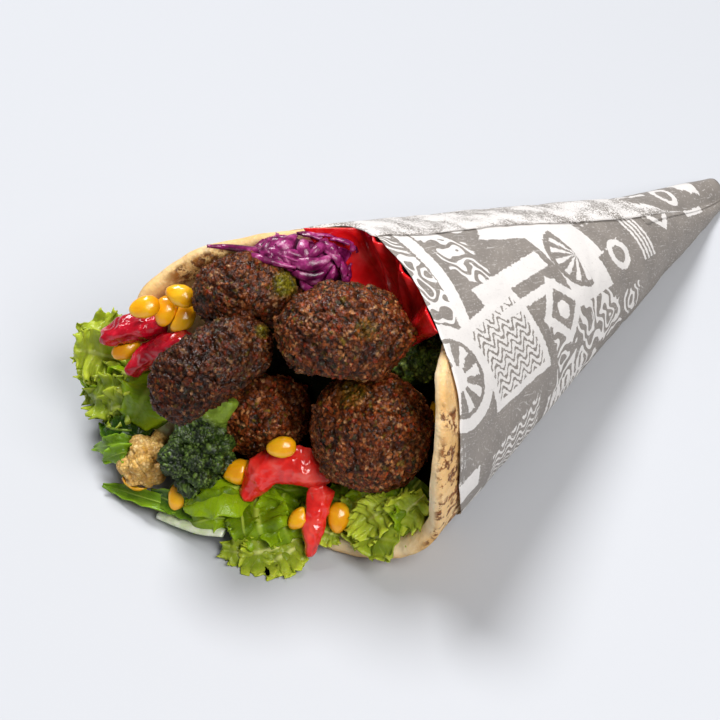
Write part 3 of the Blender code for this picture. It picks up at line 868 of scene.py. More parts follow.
# Shapes of the print: kind, place along and across, length, width, turn, tone, pattern, its count
PRINT_SHAPES = [
    ("bar", 178, -34, 26, 30, 8, 0.0), ("bar", 184, -14, 15, 40, 8, 1.0, "scribble", 11),
    ("bar", 190, -84, 30, 7, -24, 1.0), ("bar", 178, -94, 30, 4, -24, 1.0),
    ("bar", 172, -8, 5, 60, 12, 1.0), ("bar", 159, -8, 15, 24, 10, 1.0, "scribble", 9),
    ("disc", 190, -48, 34, 34, 0, 1.0), ("disc", 190, -48, 25, 25, 0, 0.0),
    ("disc", 190, -48, 22, 22, 0, 1.0, "rays", 9), ("disc", 190, -48, 8, 8, 0, 1.0),
    ("bar", 160, -42, 34, 30, -20, 1.0), ("bar", 160, -42, 28, 24, -20, 0.0, "waves", 9),
    ("bar", 120, -44, 30, 30, -20, 1.0, "scribble", 8),
    ("bar", 96, -30, 34, 26, -20, 1.0, "scribble", 10), ("bar", 141, 14, 46, 36, 10, 1.0),
    ("disc", 147, 10, 22, 30, 10, 0.0), ("disc", 147, 10, 16, 24, 10, 1.0, "rings", 3),
    ("bar", 127, 17, 8, 26, 10, 0.0, "dots", 6), ("bar", 146, -20, 40, 6, -14, 1.0),
    ("bar", 143, -28, 34, 3, -14, 1.0), ("diamond", 128, -33, 24, 24, -14, 1.0),
    ("diamond", 128, -33, 15, 15, -14, 0.0), ("disc", 128, -33, 6, 6, 0, 1.0),
    ("bar", 112, -8, 26, 46, -14, 1.0), ("half", 110, -16, 22, 26, -104, 0.0),
    ("half", 110, -16, 18, 22, -104, 1.0, "rays", 12), ("bar", 114, 9, 18, 4, -14, 0.0),
    ("bar", 112, 3, 12, 3, -14, 0.0), ("bar", 92, 12, 26, 30, 4, 0.0), ("bar", 92, 18, 22, 3, 4, 1.0),
    ("bar", 94, 11, 20, 7, 4, 1.0, "stripes", 7), ("bar", 93, 0, 20, 12, -8, 1.0, "dots", 7),
    ("bar", 86, -22, 24, 16, -18, 0.0), ("disc", 88, -18, 11, 11, 0, 1.0),
    ("disc", 88, -18, 6, 6, 0, 0.0), ("bar", 74, -8, 8, 26, -12, 1.0, "stripes", 4),
    ("bar", 70, 6, 16, 9, 8, 1.0, "waves", 5), ("diamond", 57, -6, 13, 13, -10, 1.0),
    ("diamond", 57, -6, 7, 7, -10, 0.0), ("bar", 56, 6, 14, 2, 10, 1.0), ("disc", 42, 2, 9, 9, 0, 1.0),
    ("disc", 42, 2, 5, 5, 0, 0.0), ("bar", 34, -5, 12, 2.5, -10, 1.0), ("bar", 28, 3, 8, 4, 20, 1.0),
    ("bar", 150, -76, 30, 24, -30, 1.0, "waves", 8), ("bar", 196, -82, 20, 26, -20, 1.0, "dots", 8),
    ("bar", 122, -60, 26, 14, -30, 1.0, "stripes", 8), ("disc", 172, -100, 26, 26, 0, 1.0, "rings", 3),
    ("bar", 170, 60, 30, 20, 20, 1.0, "waves", 8), ("bar", 140, 48, 24, 20, 20, 1.0, "stripes", 8),
    ("disc", 176, 92, 28, 28, 0, 1.0, "rays", 10), ("bar", 120, 60, 20, 18, 20, 1.0, "dots", 8),
]
INK = (0.235, 0.208, 0.184)
PAPER_WHITE = (0.77, 0.735, 0.705)


def paper_look(look, tone):
    """Ink and bare paper by tone, with scuffs, fibres and a faint sheen."""
    scuff = look.between(look.noise(1.1, 5, 0.75, where=look.flat), 0.56, 0.66)
    along = look.turned(look.flat, 0.25, (0.12, 1.5, 1))
    streak = look.between(look.noise(1.0, 4, 0.7, where=along), 0.60, 0.68)
    worn = look.times(look.math("MAXIMUM", scuff, streak), 0.6)
    kept = look.times(tone, look.rest(look.times(worn, 0.35)))
    tone = look.plus(kept, look.times(look.rest(tone), worn))
    cloudy = look.between(look.noise(0.12, 3, 0.6, where=look.flat), 0.3, 0.7)
    ink = look.mix(cloudy, tinted(INK, 0.82), tinted(INK, 1.2))
    fibre = look.between(look.noise(6, 3, 0.7, where=look.flat), 0.3, 0.7)
    colour = look.mix(tone, look.mix(fibre, ink, tinted(INK, 1.1)), PAPER_WHITE)
    swells = look.noise(0.05, 3, 0.55, where=look.flat)
    look.bump((swells, 1.2 * MM), (look.noise(1.2, 3, where=look.flat), 0.06 * MM))
    return look.finish(colour, 0.55, Specular_IOR_Level=0.35)


def make_paper():
    printed = Print("printed_paper")
    for shape in PRINT_SHAPES:
        printed.lay(*shape)
    body = paper_look(printed, printed.tone)

    def whole(part_along, part_around):
        degrees = 360 * part_around - 180
        edge = paper_edge(degrees)
        return PAPER_TIP + (edge - PAPER_TIP) * part_along, degrees

    def edge_lift(part_along, part_around):
        open_share = 0.5 + 0.5 * noise.noise(Vector((part_around * 9, 4.4, 0)))
        seam = SEAM * (part_around - 0.5)
        degrees = 360 * part_around - 180
        held = ramp(degrees, 2, 20) * (1 - ramp(degrees, 70, 90))
        return EDGE_CURL * open_share * (1 - held) * ramp(part_along, 0.95, 1.0) ** 2 + seam

    mesh = paper_sheet("paper_sheet", whole, PAPER_ROWS, PAPER_COLUMNS, edge_lift)
    thicken(new_piece("paper_sheet", mesh, body, "printed_paper", "paper_wrap"), PAPER_SHEET)

    margin = Print("paper_margin")
    speckle = margin.cells(2.4, where=margin.flat)
    density = margin.between(margin.noise(0.11, 3, where=margin.flat), 0.34, 0.60, 0.12, 0.62)
    white = paper_look(margin, margin.math("GREATER_THAN", speckle, density))

    def flap(part_along, part_across):
        reach = FLAP_START + (paper_edge(32) + 2 * MM - FLAP_START) * part_along
        low = -28 + 30 * ramp(part_along, 0.0, 0.75) + 6 * ramp(part_along, 0.85, 1.0)
        degrees = low + (FLAP_TOP - low) * part_across
        tongue = FLAP_TONGUE * ramp(degrees, 30, 44) * (1 - ramp(degrees, 58, 78))
        share = ramp(part_along, 0.6, 1.0)
        return min(reach, paper_edge(degrees) + 1 * MM) + tongue * share, degrees

    def flap_lift(part_along, part_across):
        loose = (1 - ramp(part_across, 0.0, 0.3)) * ramp(part_along, 0.0, 0.3)
        reach, degrees = flap(part_along, part_across)
        beyond = ramp(reach - paper_edge(degrees), -0.5 * MM, 1.2 * MM)
        return FLAP_LIFT + 0.3 * MM * loose - EDGE_CURL * beyond

    mesh = paper_sheet("paper_flap", flap, 120, 30, flap_lift)
    thicken(new_piece("paper_flap", mesh, white, "printed_paper"), PAPER_SHEET)

    def tail(part_along, part_across):
        return (TAIL_START + TAIL_LENGTH * part_along) * MM, TAIL_LOW + TAIL_TURN * part_across

    def tail_lift(part_along, part_across):
        reach, degrees = tail(part_along, part_across)
        loose = ramp(degrees, -30, 28) * (1 - ramp(degrees, 58, 82))
        return FLAP_LIFT + TAIL_PLEAT * loose * (1 - ramp(reach, 20 * MM, 62 * MM))

    mesh = paper_sheet("paper_tail", tail, 50, 50, tail_lift)
    thicken(new_piece("paper_tail", mesh, body, "printed_paper"), PAPER_SHEET)


# Bread


# Toasted patch on the inside of the far lip: pixel of its middle, half sizes in pixels, turn
TOAST_MIDDLE = (202, 264)
TOAST_SIZE = (44, 15)
TOAST_TURN = -26
BREAD_SEGMENTS = 180
BREAD_WALL_ROWS = 56
BREAD_LIP_ROWS = 10
BREAD_WANDER = 0.9 * MM
BREAD_NICKS = 0.5 * MM


def bread_material():
    look = Look("pita_crumb")
    inside = look.stored("inside")
    broad = look.noise(70, 3, 0.55)
    crust = look.steps(
        broad, (0.32, (0.64, 0.38, 0.13)), (0.5, (0.80, 0.53, 0.24)), (0.68, (0.88, 0.67, 0.38)))
    crumb = look.steps(
        broad, (0.30, (0.80, 0.53, 0.23)), (0.55, (0.92, 0.71, 0.42)), (0.75, (0.95, 0.80, 0.55)))
    colour = look.mix(look.between(inside, 0.12, 0.55), crust, crumb)
    blotch = look.between(look.noise(330, 4, 0.65), 0.50, 0.57)
    zone = look.between(look.noise(75, 2), 0.36, 0.46)
    char = look.times(look.times(blotch, zone), look.stored("toast"))
    burnt = look.mix(look.between(look.noise(600, 2), 0.35, 0.65), (0.12, 0.04, 0.012), (0.28, 0.105, 0.03))
    colour = look.mix(look.between(look.stored("toast"), 0.2, 1.0, 0.0, 0.3), colour, (0.70, 0.38, 0.13))
    colour = look.mix(look.stored("golden"), colour, (0.90, 0.60, 0.22))
    browned = look.times(look.stored("browned"), look.between(look.noise(220, 5, 0.65), 0.42, 0.58))
    colour = look.mix(browned, colour, (0.34, 0.13, 0.022))
    colour = look.mix(char, colour, burnt)
    dust = look.between(look.noise(1500, 2), 0.55, 0.75, 0.0, 0.2)
    colour = look.mix(dust, colour, (0.93, 0.86, 0.70))
    look.bump((look.noise(240, 4, 0.6), 0.7 * MM), (look.cells(900), 0.12 * MM))
    look.flesh(0.2, 2.0 * MM, (1.0, 0.6, 0.3))
    return look.finish(colour, 0.72, Specular_IOR_Level=0.25)


def bread_path():
    """Stations round the wall: share of the way to the mouth, swing over the lip, share through the wall."""
    path = [("wall", row / BREAD_WALL_ROWS, 0.0) for row in range(BREAD_WALL_ROWS + 1)]
    path += [("lip", math.pi * step / BREAD_LIP_ROWS, 0.0) for step in range(1, BREAD_LIP_ROWS)]
    path += [("wall", 1 - row / BREAD_WALL_ROWS, 1.0) for row in range(BREAD_WALL_ROWS + 1)]
    return path


def make_bread():
    rings, insides, golds, toasts = [], [], [], []
    lip = BREAD_THICK / 2
    for kind, share, through in bread_path():
        ring = []
        for i in range(BREAD_SEGMENTS):
            degrees = 360 * i / BREAD_SEGMENTS - 180
            broad = BREAD_WANDER * noise.noise(Vector((degrees / 14, 2.2, 0)))
            small = BREAD_NICKS * noise.noise(Vector((degrees / 4, 5.1, 0)))
            rim = around(BREAD_EDGE, degrees) + broad + small - lip
            if kind == "wall":
                reach = BREAD_HOLLOW + (rim - BREAD_HOLLOW) * share ** 0.6
                depth = through
            else:
                reach = rim + lip * math.sin(share)
                depth = (1 - math.cos(share)) / 2
            point = cone_point(reach, degrees, BREAD_OUTSIDE + BREAD_THICK * depth, sag=True)
            ring.append(point)
            insides.append(depth)
            golds.append(0.7 * ramp(degrees, 20, 70) * ramp(depth, 0.1, 0.5))
            near_side = ramp(-degrees, 30, 45) * (1 - ramp(-degrees, 118, 132))
            toasts.append(near_side * (1 - ramp(depth, 0.22, 0.55)))
        rings.append(ring)
    mesh = grid_mesh("pita_bread", rings, caps=(0, -1))
    points, ways = coords(mesh), normals(mesh)
    depth = np.array(insides + [0.0, 1.0])
    swell = 0.5 * MM * spot_noise(points, 13 * MM, 2) + 0.3 * MM * spot_noise(points, 5 * MM, 4)
    swell = np.where(depth < 0.1, np.minimum(swell, 0.1 * MM), swell)
    place_points(mesh, points + ways * swell[:, None])
    store(mesh, "inside", depth)
    store(mesh, "golden", np.array(golds + [0.0, 0.0]))
    turn = math.radians(TOAST_TURN)
    away = (pixel_of(coords(mesh)) - np.array(TOAST_MIDDLE)) @ np.array(
        [[math.cos(turn), -math.sin(turn)], [math.sin(turn), math.cos(turn)]])
    far = np.linalg.norm(away / np.array(TOAST_SIZE), axis=1)
    inner = (1 - ramps(far, 0.6, 1.1)) * ramps(depth, 0.3, 0.7)
    store(mesh, "toast", np.maximum(np.array(toasts + [0.0, 0.0]), inner))
    store(mesh, "browned", inner)
    new_piece("pita_bread", mesh, bread_material(), "bread", "pita")


# Salad


def leaf_material(name, young, deep, rib):
    look = Look(name)
    across, along, tone = look.stored("across"), look.stored("along"), look.stored("tone")
    patch = look.between(look.noise(110, 3, 0.55), 0.3, 0.7)
    # Tone is partly the leaf's own colour and partly painted shade for leaves lying in shade
    mixed = look.plus(look.times(tone, 0.8), look.times(patch, 0.35))
    mixed = look.minus(mixed, look.between(across, 0.55, 1.0, 0.0, 0.35))
    colour = look.mix(mixed, young, deep)
    slant = look.plus(look.times(along, 46.0), look.times(across, -7.0))
    branch = look.math("ABSOLUTE", look.math("SINE", slant))
    vein = look.between(branch, 0.0, 0.16, 0.45, 0.0)
    midrib = look.between(across, 0.02, 0.14, 1.0, 0.0)
    fade = look.between(along, 0.25, 0.95, 1.0, 0.15)
    ribs = look.math("MAXIMUM", look.times(midrib, fade), look.times(vein, 0.5))
    colour = look.mix(ribs, colour, rib)
    height = look.plus(look.noise(520, 3, 0.6), look.times(ribs, 0.8))
    look.bump((height, 0.4 * MM))
    look.flesh(0.2, 1.0 * MM, (0.6, 1.0, 0.12))
    return look.finish(colour, 0.24, Specular_IOR_Level=0.22)


def curve_points(keys, count):
    """Points on a smooth curve through keys, each a tuple of numbers."""
    keys = [np.array(key, float) for key in keys]
    ends = [2 * keys[0] - keys[1]] + keys + [2 * keys[-1] - keys[-2]]
    found = []
    for step in range(count + 1):
        spot = step / count * (len(keys) - 1)
        index = min(int(spot), len(keys) - 2)
        part = spot - index
        a, b, c, d = ends[index:index + 4]
        cube = 3 * (b - c) + d - a
        square = 2 * a - 5 * b + 4 * c - d
        found.append(b + 0.5 * part * (c - a + part * (square + part * cube)))
    return np.array(found)


LEAF_ROWS = 48
LEAF_COLUMNS = 20
# Rise over the bed at a leaf's middle, in millimetres
LEAF_ARCH = 2.5
LEAF_NICKS = 0.16
LEAF_SLIDE = 0.28
LEAF_THICK = 0.35 * MM


class Leaves:
    """Leaves of one kind, gathered into one mesh."""

    def __init__(self):
        self.points, self.faces = [], []
        self.across, self.along, self.tone = [], [], []

    def add_shown(self, spine, base, **ways):
        """One leaf along a spine of (pixel x, pixel y, half width).

        It lies a base distance over the bed, a little more at its middle.
        """
        last = len(spine) - 1
        arch = [base + LEAF_ARCH * math.sin(math.pi * i / last) for i in range(last + 1)]
        spots = laid([(x, y, lift) for (x, y, _), lift in zip(spine, arch)], ("salad_bed", "pita"))
        self.add(spots, [key[2] for key in spine], OUT, **ways)

    def add_far(self, spine, base, **ways):
        """One leaf on the far side, along a spine of (x, y, z from the tip, half width) in millimetres."""
        found = [CARRIERS["salad_bed"].find_nearest(TIP + Vector(key[:3]) * MM) for key in spine]
        spots = [spot + normal * base * MM for spot, normal, _, _ in found]
        facing = sum((hit[1] for hit in found), Vector()).normalized()
        self.add(spots, [key[3] for key in spine], facing, **ways)

    def add(self, spots, widths, facing, frill, waves, cup, tone, lean, seed):
        """One leaf through spots, with half widths in millimetres, frilled towards its edge."""
        rows, columns = LEAF_ROWS, LEAF_COLUMNS
        rng = np.random.default_rng(seed)
        shift = rng.uniform(0, 9, 6)
        line = curve_points([tuple(spot) + (width * MM,) for spot, width in zip(spots, widths)], rows)
        start = len(self.points)
        for row, (*spot, width) in enumerate(line):
            spot = Vector(spot)
            ahead = Vector(line[min(row + 1, rows)][:3]) - Vector(line[max(row - 1, 0)][:3])
            ahead.normalize()
            side = ahead.cross(facing).normalized()
            side = Matrix.Rotation(math.radians(lean), 3, ahead) @ side
            normal = side.cross(ahead).normalized()
            part = row / rows
            for column in range(columns + 1):
                t = 2 * column / columns - 1
                reach = abs(t)
                hand = 1 if t > 0 else -1
                phase = 2 * math.pi * waves * part + hand * 1.1 + shift[0]
                wander = noise.noise(Vector((part * waves * 1.7 + shift[1], t * 1.3, shift[2])))
                swell = noise.noise(Vector((part * waves * 1.4 + shift[5], t * 2.1, shift[4])))
                swing = math.sin(phase + 3.6 * wander)
                small = math.sin(phase * 2.3 + 5 * wander + shift[3])
                height = frill * (0.85 * swing * reach ** 2.6 + 0.5 * small * reach ** 4 + 0.7 * swell) * MM
                height += cup * width * reach ** 2
                nick = noise.noise(Vector((part * waves * 5 + shift[4], hand * 3.0, 1.0)))
                ragged = 1 + LEAF_NICKS * nick * reach ** 2
                slide = LEAF_SLIDE * frill * MM * math.cos(phase * 1.6 + 2 * wander) * reach ** 2
                self.points.append(spot + side * (t * width * ragged) + normal * height + ahead * slide)
                self.across.append(reach)
                self.along.append(part)
                self.tone.append(tone)
        for row in range(rows):
            for column in range(columns):
                a = start + row * (columns + 1) + column
                self.faces.append((a, a + 1, a + columns + 2, a + columns + 1))

    def build(self, name, material):
        mesh = bpy.data.meshes.new(name)
        low = 0.2 * MM + LEAF_THICK / 2
        points = [(x, y, max(z, low)) for x, y, z in self.points]
        mesh.from_pydata(points, [], self.faces)
        store(mesh, "across", np.array(self.across))
        store(mesh, "along", np.array(self.along))
        store(mesh, "tone", np.array(self.tone))
        thicken(new_piece(name, mesh, material, "salad_leaves", "salad_bed"), LEAF_THICK)


# Curly leaves: spine of (pixel x, pixel y, half width), then base, frill, waves, tone and lean. Tone runs
# from young to deep green: partly the leaf's own colour, partly painted shade for leaves lying in shade
CURLY = [
    ([(128, 350, 3), (112, 340, 7), (98, 330, 8), (90, 320, 4)], 3.0, 2.6, 4.2, 0.05, 10),
    ([(126, 362, 3), (108, 356, 7), (90, 352, 8), (74, 350, 4)], 3.0, 2.6, 4.5, 0.05, -15),
    ([(122, 374, 3), (104, 368, 6), (90, 366, 6), (78, 368, 3)], 2.5, 2.4, 4.5, 0.12, 15),
    ([(130, 384, 3), (114, 382, 7), (98, 384, 8), (84, 382, 4)], 3.0, 2.6, 5.0, 0.40, -10),
    ([(136, 396, 3), (120, 396, 6), (104, 398, 7), (90, 400, 3)], 3.0, 2.4, 5.0, 0.50, 15),
    ([(142, 408, 3), (130, 406, 5), (116, 408, 6), (106, 410, 3)], 2.5, 2.2, 4.5, 0.45, 0),
    ([(150, 382, 4), (138, 376, 7), (126, 374, 6), (116, 376, 3)], 4.5, 2.4, 4.5, 0.30, 20),
    ([(300, 536, 4), (280, 546, 7), (258, 552, 8), (236, 552, 5), (222, 550, 2)], 2.0, 2.2, 5.5, 0.45, 0),
    ([(302, 544, 4), (286, 554, 7), (272, 562, 7), (262, 567, 4)], 1.5, 2.4, 4.0, 0.30, 20),
    ([(262, 536, 3), (258, 548, 5), (254, 558, 5), (250, 566, 3)], 2.5, 2.0, 4.0, 0.20, -15),
    ([(312, 524, 2), (322, 530, 4), (332, 534, 4), (340, 536, 2)], 2.0, 1.8, 4.0, 0.30, 0),
    ([(352, 492, 3), (364, 506, 8), (378, 520, 9), (392, 534, 5)], 3.0, 2.8, 5.2, 0.05, 0),
    ([(392, 496, 2), (384, 506, 5), (374, 516, 6), (362, 524, 3)], 6.0, 2.6, 5.0, 0.00, 10),
    ([(424, 494, 2), (414, 504, 5), (402, 514, 6), (390, 522, 3)], 6.0, 2.6, 5.0, 0.10, -10),
    ([(370, 520, 3), (390, 520, 6), (408, 512, 7), (424, 504, 4)], 4.0, 2.6, 4.0, 0.35, 20),
    ([(346, 518, 3), (362, 528, 6), (380, 538, 7), (398, 542, 6)], 2.5, 2.4, 4.0, 0.45, -15),
    ([(392, 528, 3), (406, 526, 6), (418, 516, 7), (426, 506, 3)], 4.0, 2.2, 3.5, 0.50, 10),
]
# Broad smooth leaves, in the same order
BROAD = [
    ([(166, 366, 4), (154, 382, 8), (143, 400, 10), (132, 422, 5)], 6.5, 1.2, 1.8, 0.12, 15),
    ([(172, 382, 4), (166, 398, 6), (158, 412, 6), (148, 426, 3)], 4.0, 0.8, 1.5, 0.80, -15),
    ([(262, 484, 4), (242, 486, 8), (218, 493, 8), (198, 501, 5), (184, 506, 2)], 6.0, 1.0, 1.8, 0.02, 30),
    ([(244, 508, 4), (226, 508, 6), (206, 512, 6), (190, 516, 3)], 3.0, 1.0, 2.0, 0.75, -25),
    ([(228, 518, 3), (212, 518, 5), (198, 522, 4), (186, 524, 2)], 1.5, 0.8, 2.0, 0.15, 0),
    ([(258, 490, 6), (256, 506, 9), (258, 524, 9), (264, 540, 6), (272, 548, 3)], 4.0, 3.0, 3.6, 0.25, 10),
    ([(284, 492, 5), (282, 508, 8), (284, 526, 8), (290, 542, 5)], 4.5, 2.8, 3.4, 0.30, -20),
    ([(240, 504, 3), (242, 518, 5), (244, 532, 4), (248, 542, 2)], 3.0, 1.2, 2.5, 0.60, 0),
    ([(262, 484, 4), (280, 488, 6), (298, 490, 6), (312, 494, 4)], 5.0, 1.4, 3.0, 0.00, 40),
    ([(352, 502, 3), (368, 500, 6), (386, 498, 7), (402, 496, 3)], 5.0, 1.8, 3.0, 0.05, 25),
    ([(400, 532, 2), (408, 520, 5), (412, 508, 5), (412, 496, 2)], 4.0, 1.6, 2.6, 0.30, 40),
    ([(326, 496, 4), (338, 500, 6), (350, 504, 6), (362, 506, 3)], 3.0, 1.0, 2.0, 0.15, 0),
    ([(236, 470, 5), (216, 482, 8), (196, 492, 8), (176, 500, 4)], 1.5, 1.2, 2.0, 0.95, 0),
    ([(300, 500, 5), (308, 514, 8), (314, 528, 7), (318, 540, 3)], 2.0, 1.4, 2.4, 0.70, 0),
    ([(150, 440, 4), (134, 436, 7), (120, 430, 7), (108, 424, 3)], 1.5, 1.2, 2.0, 0.90, 0),
    ([(420, 480, 4), (412, 490, 6), (404, 500, 6), (398, 510, 3)], 2.0, 1.2, 2.0, 0.80, 0),
]
# Dark narrow leaves and blades, in the same order
SPRIGS = [
    ([(138, 446, 1.5), (124, 444, 3.2), (108, 446, 2.8), (94, 448, 0.6)], 3.0, 0.7, 2.2, 0.30, 10),
    ([(136, 452, 1.5), (124, 452, 2.8), (112, 456, 2.6), (103, 461, 0.6)], 3.0, 0.7, 2.0, 0.20, -10),
    ([(130, 450, 1.2), (126, 460, 2.0), (124, 468, 1.6), (124, 476, 0.5)], 2.5, 0.6, 2.0, 0.35, 0),
    ([(138, 430, 2.0), (124, 430, 4.2), (110, 428, 4.0), (103, 422, 1.0)], 3.0, 0.8, 2.0, 0.95, 10),
    ([(194, 513, 1.2), (168, 505, 2.4), (142, 497, 2.6), (120, 490, 2.0), (103, 485, 0.5)],
     1.6, 0.5, 2.0, 0.5, 15),
    ([(206, 516, 2), (186, 508, 3.5), (168, 500, 3.4), (152, 494, 1.5)], 1.2, 0.5, 2.0, 0.95, -10),
]
# Leaves over the far side of the bed: spine of (x, y, z from the tip, half width), base and tone
FAR_LEAVES = [
    ([(-231, 88, 14, 3), (-221, 85, 15, 8), (-210, 79, 14, 9), (-200, 70, 9, 4)], 0.8, 0.35),
    ([(-234, 84, 22, 3), (-224, 80, 24, 8), (-213, 74, 23, 8), (-204, 66, 18, 4)], 1.2, 0.15),
    ([(-226, 88, 4, 3), (-216, 85, 5, 5), (-205, 79, 4, 6), (-196, 71, 3, 4)], 0.6, 0.55),
    ([(-238, 76, 24, 4), (-228, 72, 27, 8), (-217, 67, 26, 8), (-209, 62, 22, 3)], 1.8, 0.05),
    ([(-214, 80, 20, 3), (-206, 74, 15, 7), (-200, 68, 9, 7), (-194, 64, 4, 3)], 1.8, 0.25),
]
RIB = [(160, 514, 2.0), (180, 521, 2.4), (202, 529, 2.2), (224, 533, 1.6)]
RIB_LIFT = 1.2
RIB_SIDES = 14
RIB_ROWS = 24
RIB_FLATNESS = 0.62


def make_rib(material_colour):
    """The white rib of a leaf, with a blunt cut end."""
    look = Look("lettuce_rib")
    streak = look.between(look.noise(300, 3), 0.3, 0.7)
    colour = look.mix(streak, (0.80, 0.83, 0.66), material_colour)
    look.bump((look.noise(500, 3), 0.2 * MM))
    look.flesh(0.4, 1.5 * MM, (0.8, 1.0, 0.5))
    material = look.finish(colour, 0.28, Specular_IOR_Level=0.5)
    spots = laid([(x, y, RIB_LIFT) for x, y, _ in RIB], ("salad_bed",))
    for spot in spots:
        spot.z = max(spot.z, RIB_LIFT * 1.5 * MM)
    line = curve_points([tuple(spot) + (key[2] * MM,) for spot, key in zip(spots, RIB)], RIB_ROWS)
    rings = []
    for row, (*spot, width) in enumerate(line):
        ahead = Vector(line[min(row + 1, RIB_ROWS)][:3]) - Vector(line[max(row - 1, 0)][:3])
        side = ahead.cross(Vector((0, 0, 1))).normalized()
        ring = []
        for k in range(RIB_SIDES):
            angle = 2 * math.pi * k / RIB_SIDES
            rise = Vector((0, 0, RIB_FLATNESS * math.sin(angle)))
            ring.append(Vector(spot) + (side * math.cos(angle) + rise) * float(width))
        rings.append(ring)
    mesh = grid_mesh("lettuce_rib", rings, caps=(0, -1))
    new_piece("lettuce_rib", mesh, material, "salad_leaves", "salad_bed")


# The core is sunk under the leaves, and shrinks towards its middle where it spills out of the mouth
CORE_VOXEL = 1.8 * MM
CORE_SINK = 1.6 * MM
CORE_RELIEF = 1.2 * MM
CORE_PITCH = 6 * MM
CORE_MIDDLE = Vector((-195, 25, 8)) * MM
CORE_SPILL = (195 * MM, 240 * MM)
CORE_SHRINK = 0.24
# Painted shade: it is near black within a reach of the middle of the mouth, for the shade in the gaps
# between the pieces, and green beyond
CORE_SHADE = Vector((-205, 5, 40)) * MM
CORE_SHADE_REACH = (52 * MM, 72 * MM)


def make_core():
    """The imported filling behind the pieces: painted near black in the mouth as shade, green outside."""
    look = Look("salad_filling")
    patch = look.between(look.noise(90, 4, 0.6), 0.42, 0.60)
    shade = look.mix(patch, (0.003, 0.004, 0.001), (0.010, 0.016, 0.002))
    outer = look.mix(patch, (0.020, 0.050, 0.002), (0.10, 0.17, 0.006))
    colour = look.mix(look.stored("outer"), shade, outer)
    look.bump((look.noise(160, 4, 0.6), 2.5 * MM))
    material = look.finish(colour, 0.5, Specular_IOR_Level=0.08)
    mesh = dense_copy("salad_bed", CORE_VOXEL, 3, "salad_filling")
    points, ways = coords(mesh), normals(mesh)
    sink = CORE_SINK + CORE_RELIEF * spot_noise(points, CORE_PITCH, 5)
    moved = points - ways * sink[:, None]
    middle = np.array(TIP + CORE_MIDDLE)
    spilled = ramps(TIP.x - moved[:, 0], *CORE_SPILL)
    moved += (middle - moved) * (CORE_SHRINK * spilled)[:, None]
    moved[:, 2] = np.maximum(moved[:, 2], 0.3 * MM)
    place_points(mesh, moved)
    far = np.linalg.norm(moved - np.array(TIP + CORE_SHADE), axis=1)
    store(mesh, "outer", ramps(far, *CORE_SHADE_REACH))
    new_piece("salad_filling", mesh, material, "salad_leaves", "salad_bed")


# Kinds of leaf: name, leaves, young, deep and rib colours, how far the edge cups, seed
LEAF_KINDS = [
    ("lettuce_curly", CURLY, (0.50, 0.58, 0.045), (0.045, 0.115, 0.0005), (0.62, 0.65, 0.20), 0.15, 100),
    ("lettuce_broad", BROAD, (0.28, 0.43, 0.006), (0.012, 0.050, 0.0005), (0.42, 0.54, 0.07), -0.25, 200),
    ("herb_sprigs", SPRIGS, (0.24, 0.42, 0.015), (0.018, 0.060, 0.001), (0.30, 0.44, 0.05), 0.2, 300),
]
FAR_FORM = {"frill": 2.4, "waves": 3.0, "cup": 0.1, "lean": 0}


def make_salad():
    for name, leaves, young, deep, rib, cup, seed in LEAF_KINDS:
        kind = Leaves()
        for i, (spine, base, frill, waves, tone, lean) in enumerate(leaves, seed):
            kind.add_shown(spine, base, frill=frill, waves=waves, cup=cup, tone=tone, lean=lean, seed=i)
        if leaves is BROAD:
            for i, (spine, base, tone) in enumerate(FAR_LEAVES, seed + 50):
                kind.add_far(spine, base, tone=tone, seed=i, **FAR_FORM)
        kind.build(name, leaf_material(name, young, deep, rib))
    make_rib((0.62, 0.70, 0.40))
    make_core()


# Red cabbage


CABBAGE_VOXEL = 0.5 * MM
CABBAGE_SHREDS = 34
HEAP_PITCH = 5 * MM
HEAP_FOLD = 0.4 * MM
HEAP_SINK = 1.5 * MM
SHRED_STEP = 0.9 * MM
SHRED_SIDES = 10
SHRED_HALF_THICK = 0.32 * MM
# Strands that lie along the rim and between the falafel: pixels and lift in millimetres
STRANDS = [
    [(300, 262, 1.5), (276, 254, 1.2), (250, 250, 1.0), (226, 247, 1.0), (207, 246, 1.6)],
    [(296, 268, 1.5), (272, 262, 1.0), (254, 256, 1.0), (238, 253, 1.0)],
    [(326, 284, 1.2), (314, 290, 1.2), (304, 286, 1.0), (300, 278, 1.0)],
]


def ribbon(work, line, ways, half_width, curl):
    """A closed curling ribbon along a line of points, its back towards a way at each point."""
    rings = []
    last = len(line) - 1
    for i, spot in enumerate(line):
        ahead = (line[min(i + 1, last)] - line[max(i - 1, 0)]).normalized()
        side = ahead.cross(ways[i]).normalized()
        normal = side.cross(ahead)
        taper = 0.3 + 0.7 * math.sin(math.pi * min(max(i / last, 0.06), 0.94))
        half = half_width * taper
        ring = []
        for k in range(SHRED_SIDES):
            angle = 2 * math.pi * k / SHRED_SIDES
            bend = curl * half * math.cos(angle) ** 2
            rise = SHRED_HALF_THICK * math.sin(angle) - bend
            ring.append(work.verts.new(spot + side * half * math.cos(angle) + normal * rise))
        rings.append(ring)
    for lower, upper in zip(rings, rings[1:]):
        for k in range(SHRED_SIDES):
            j = (k + 1) % SHRED_SIDES
            work.faces.new((lower[k], lower[j], upper[j], upper[k]))
    work.faces.new(rings[0])
    work.faces.new(list(reversed(rings[-1])))


def cabbage_material():
    look = Look("cabbage_shreds")
    patch = look.noise(230, 4, 0.62)
    colour = look.steps(
        patch, (0.34, (0.05, 0.001, 0.022)), (0.48, (0.19, 0.006, 0.085)),
        (0.60, (0.36, 0.035, 0.18)), (0.74, (0.66, 0.32, 0.47)))
    look.bump((look.noise(600, 3), 0.3 * MM))
    look.flesh(0.2, 1.0 * MM, (0.9, 0.2, 0.6))
    return look.finish(colour, 0.28, Specular_IOR_Level=0.55)


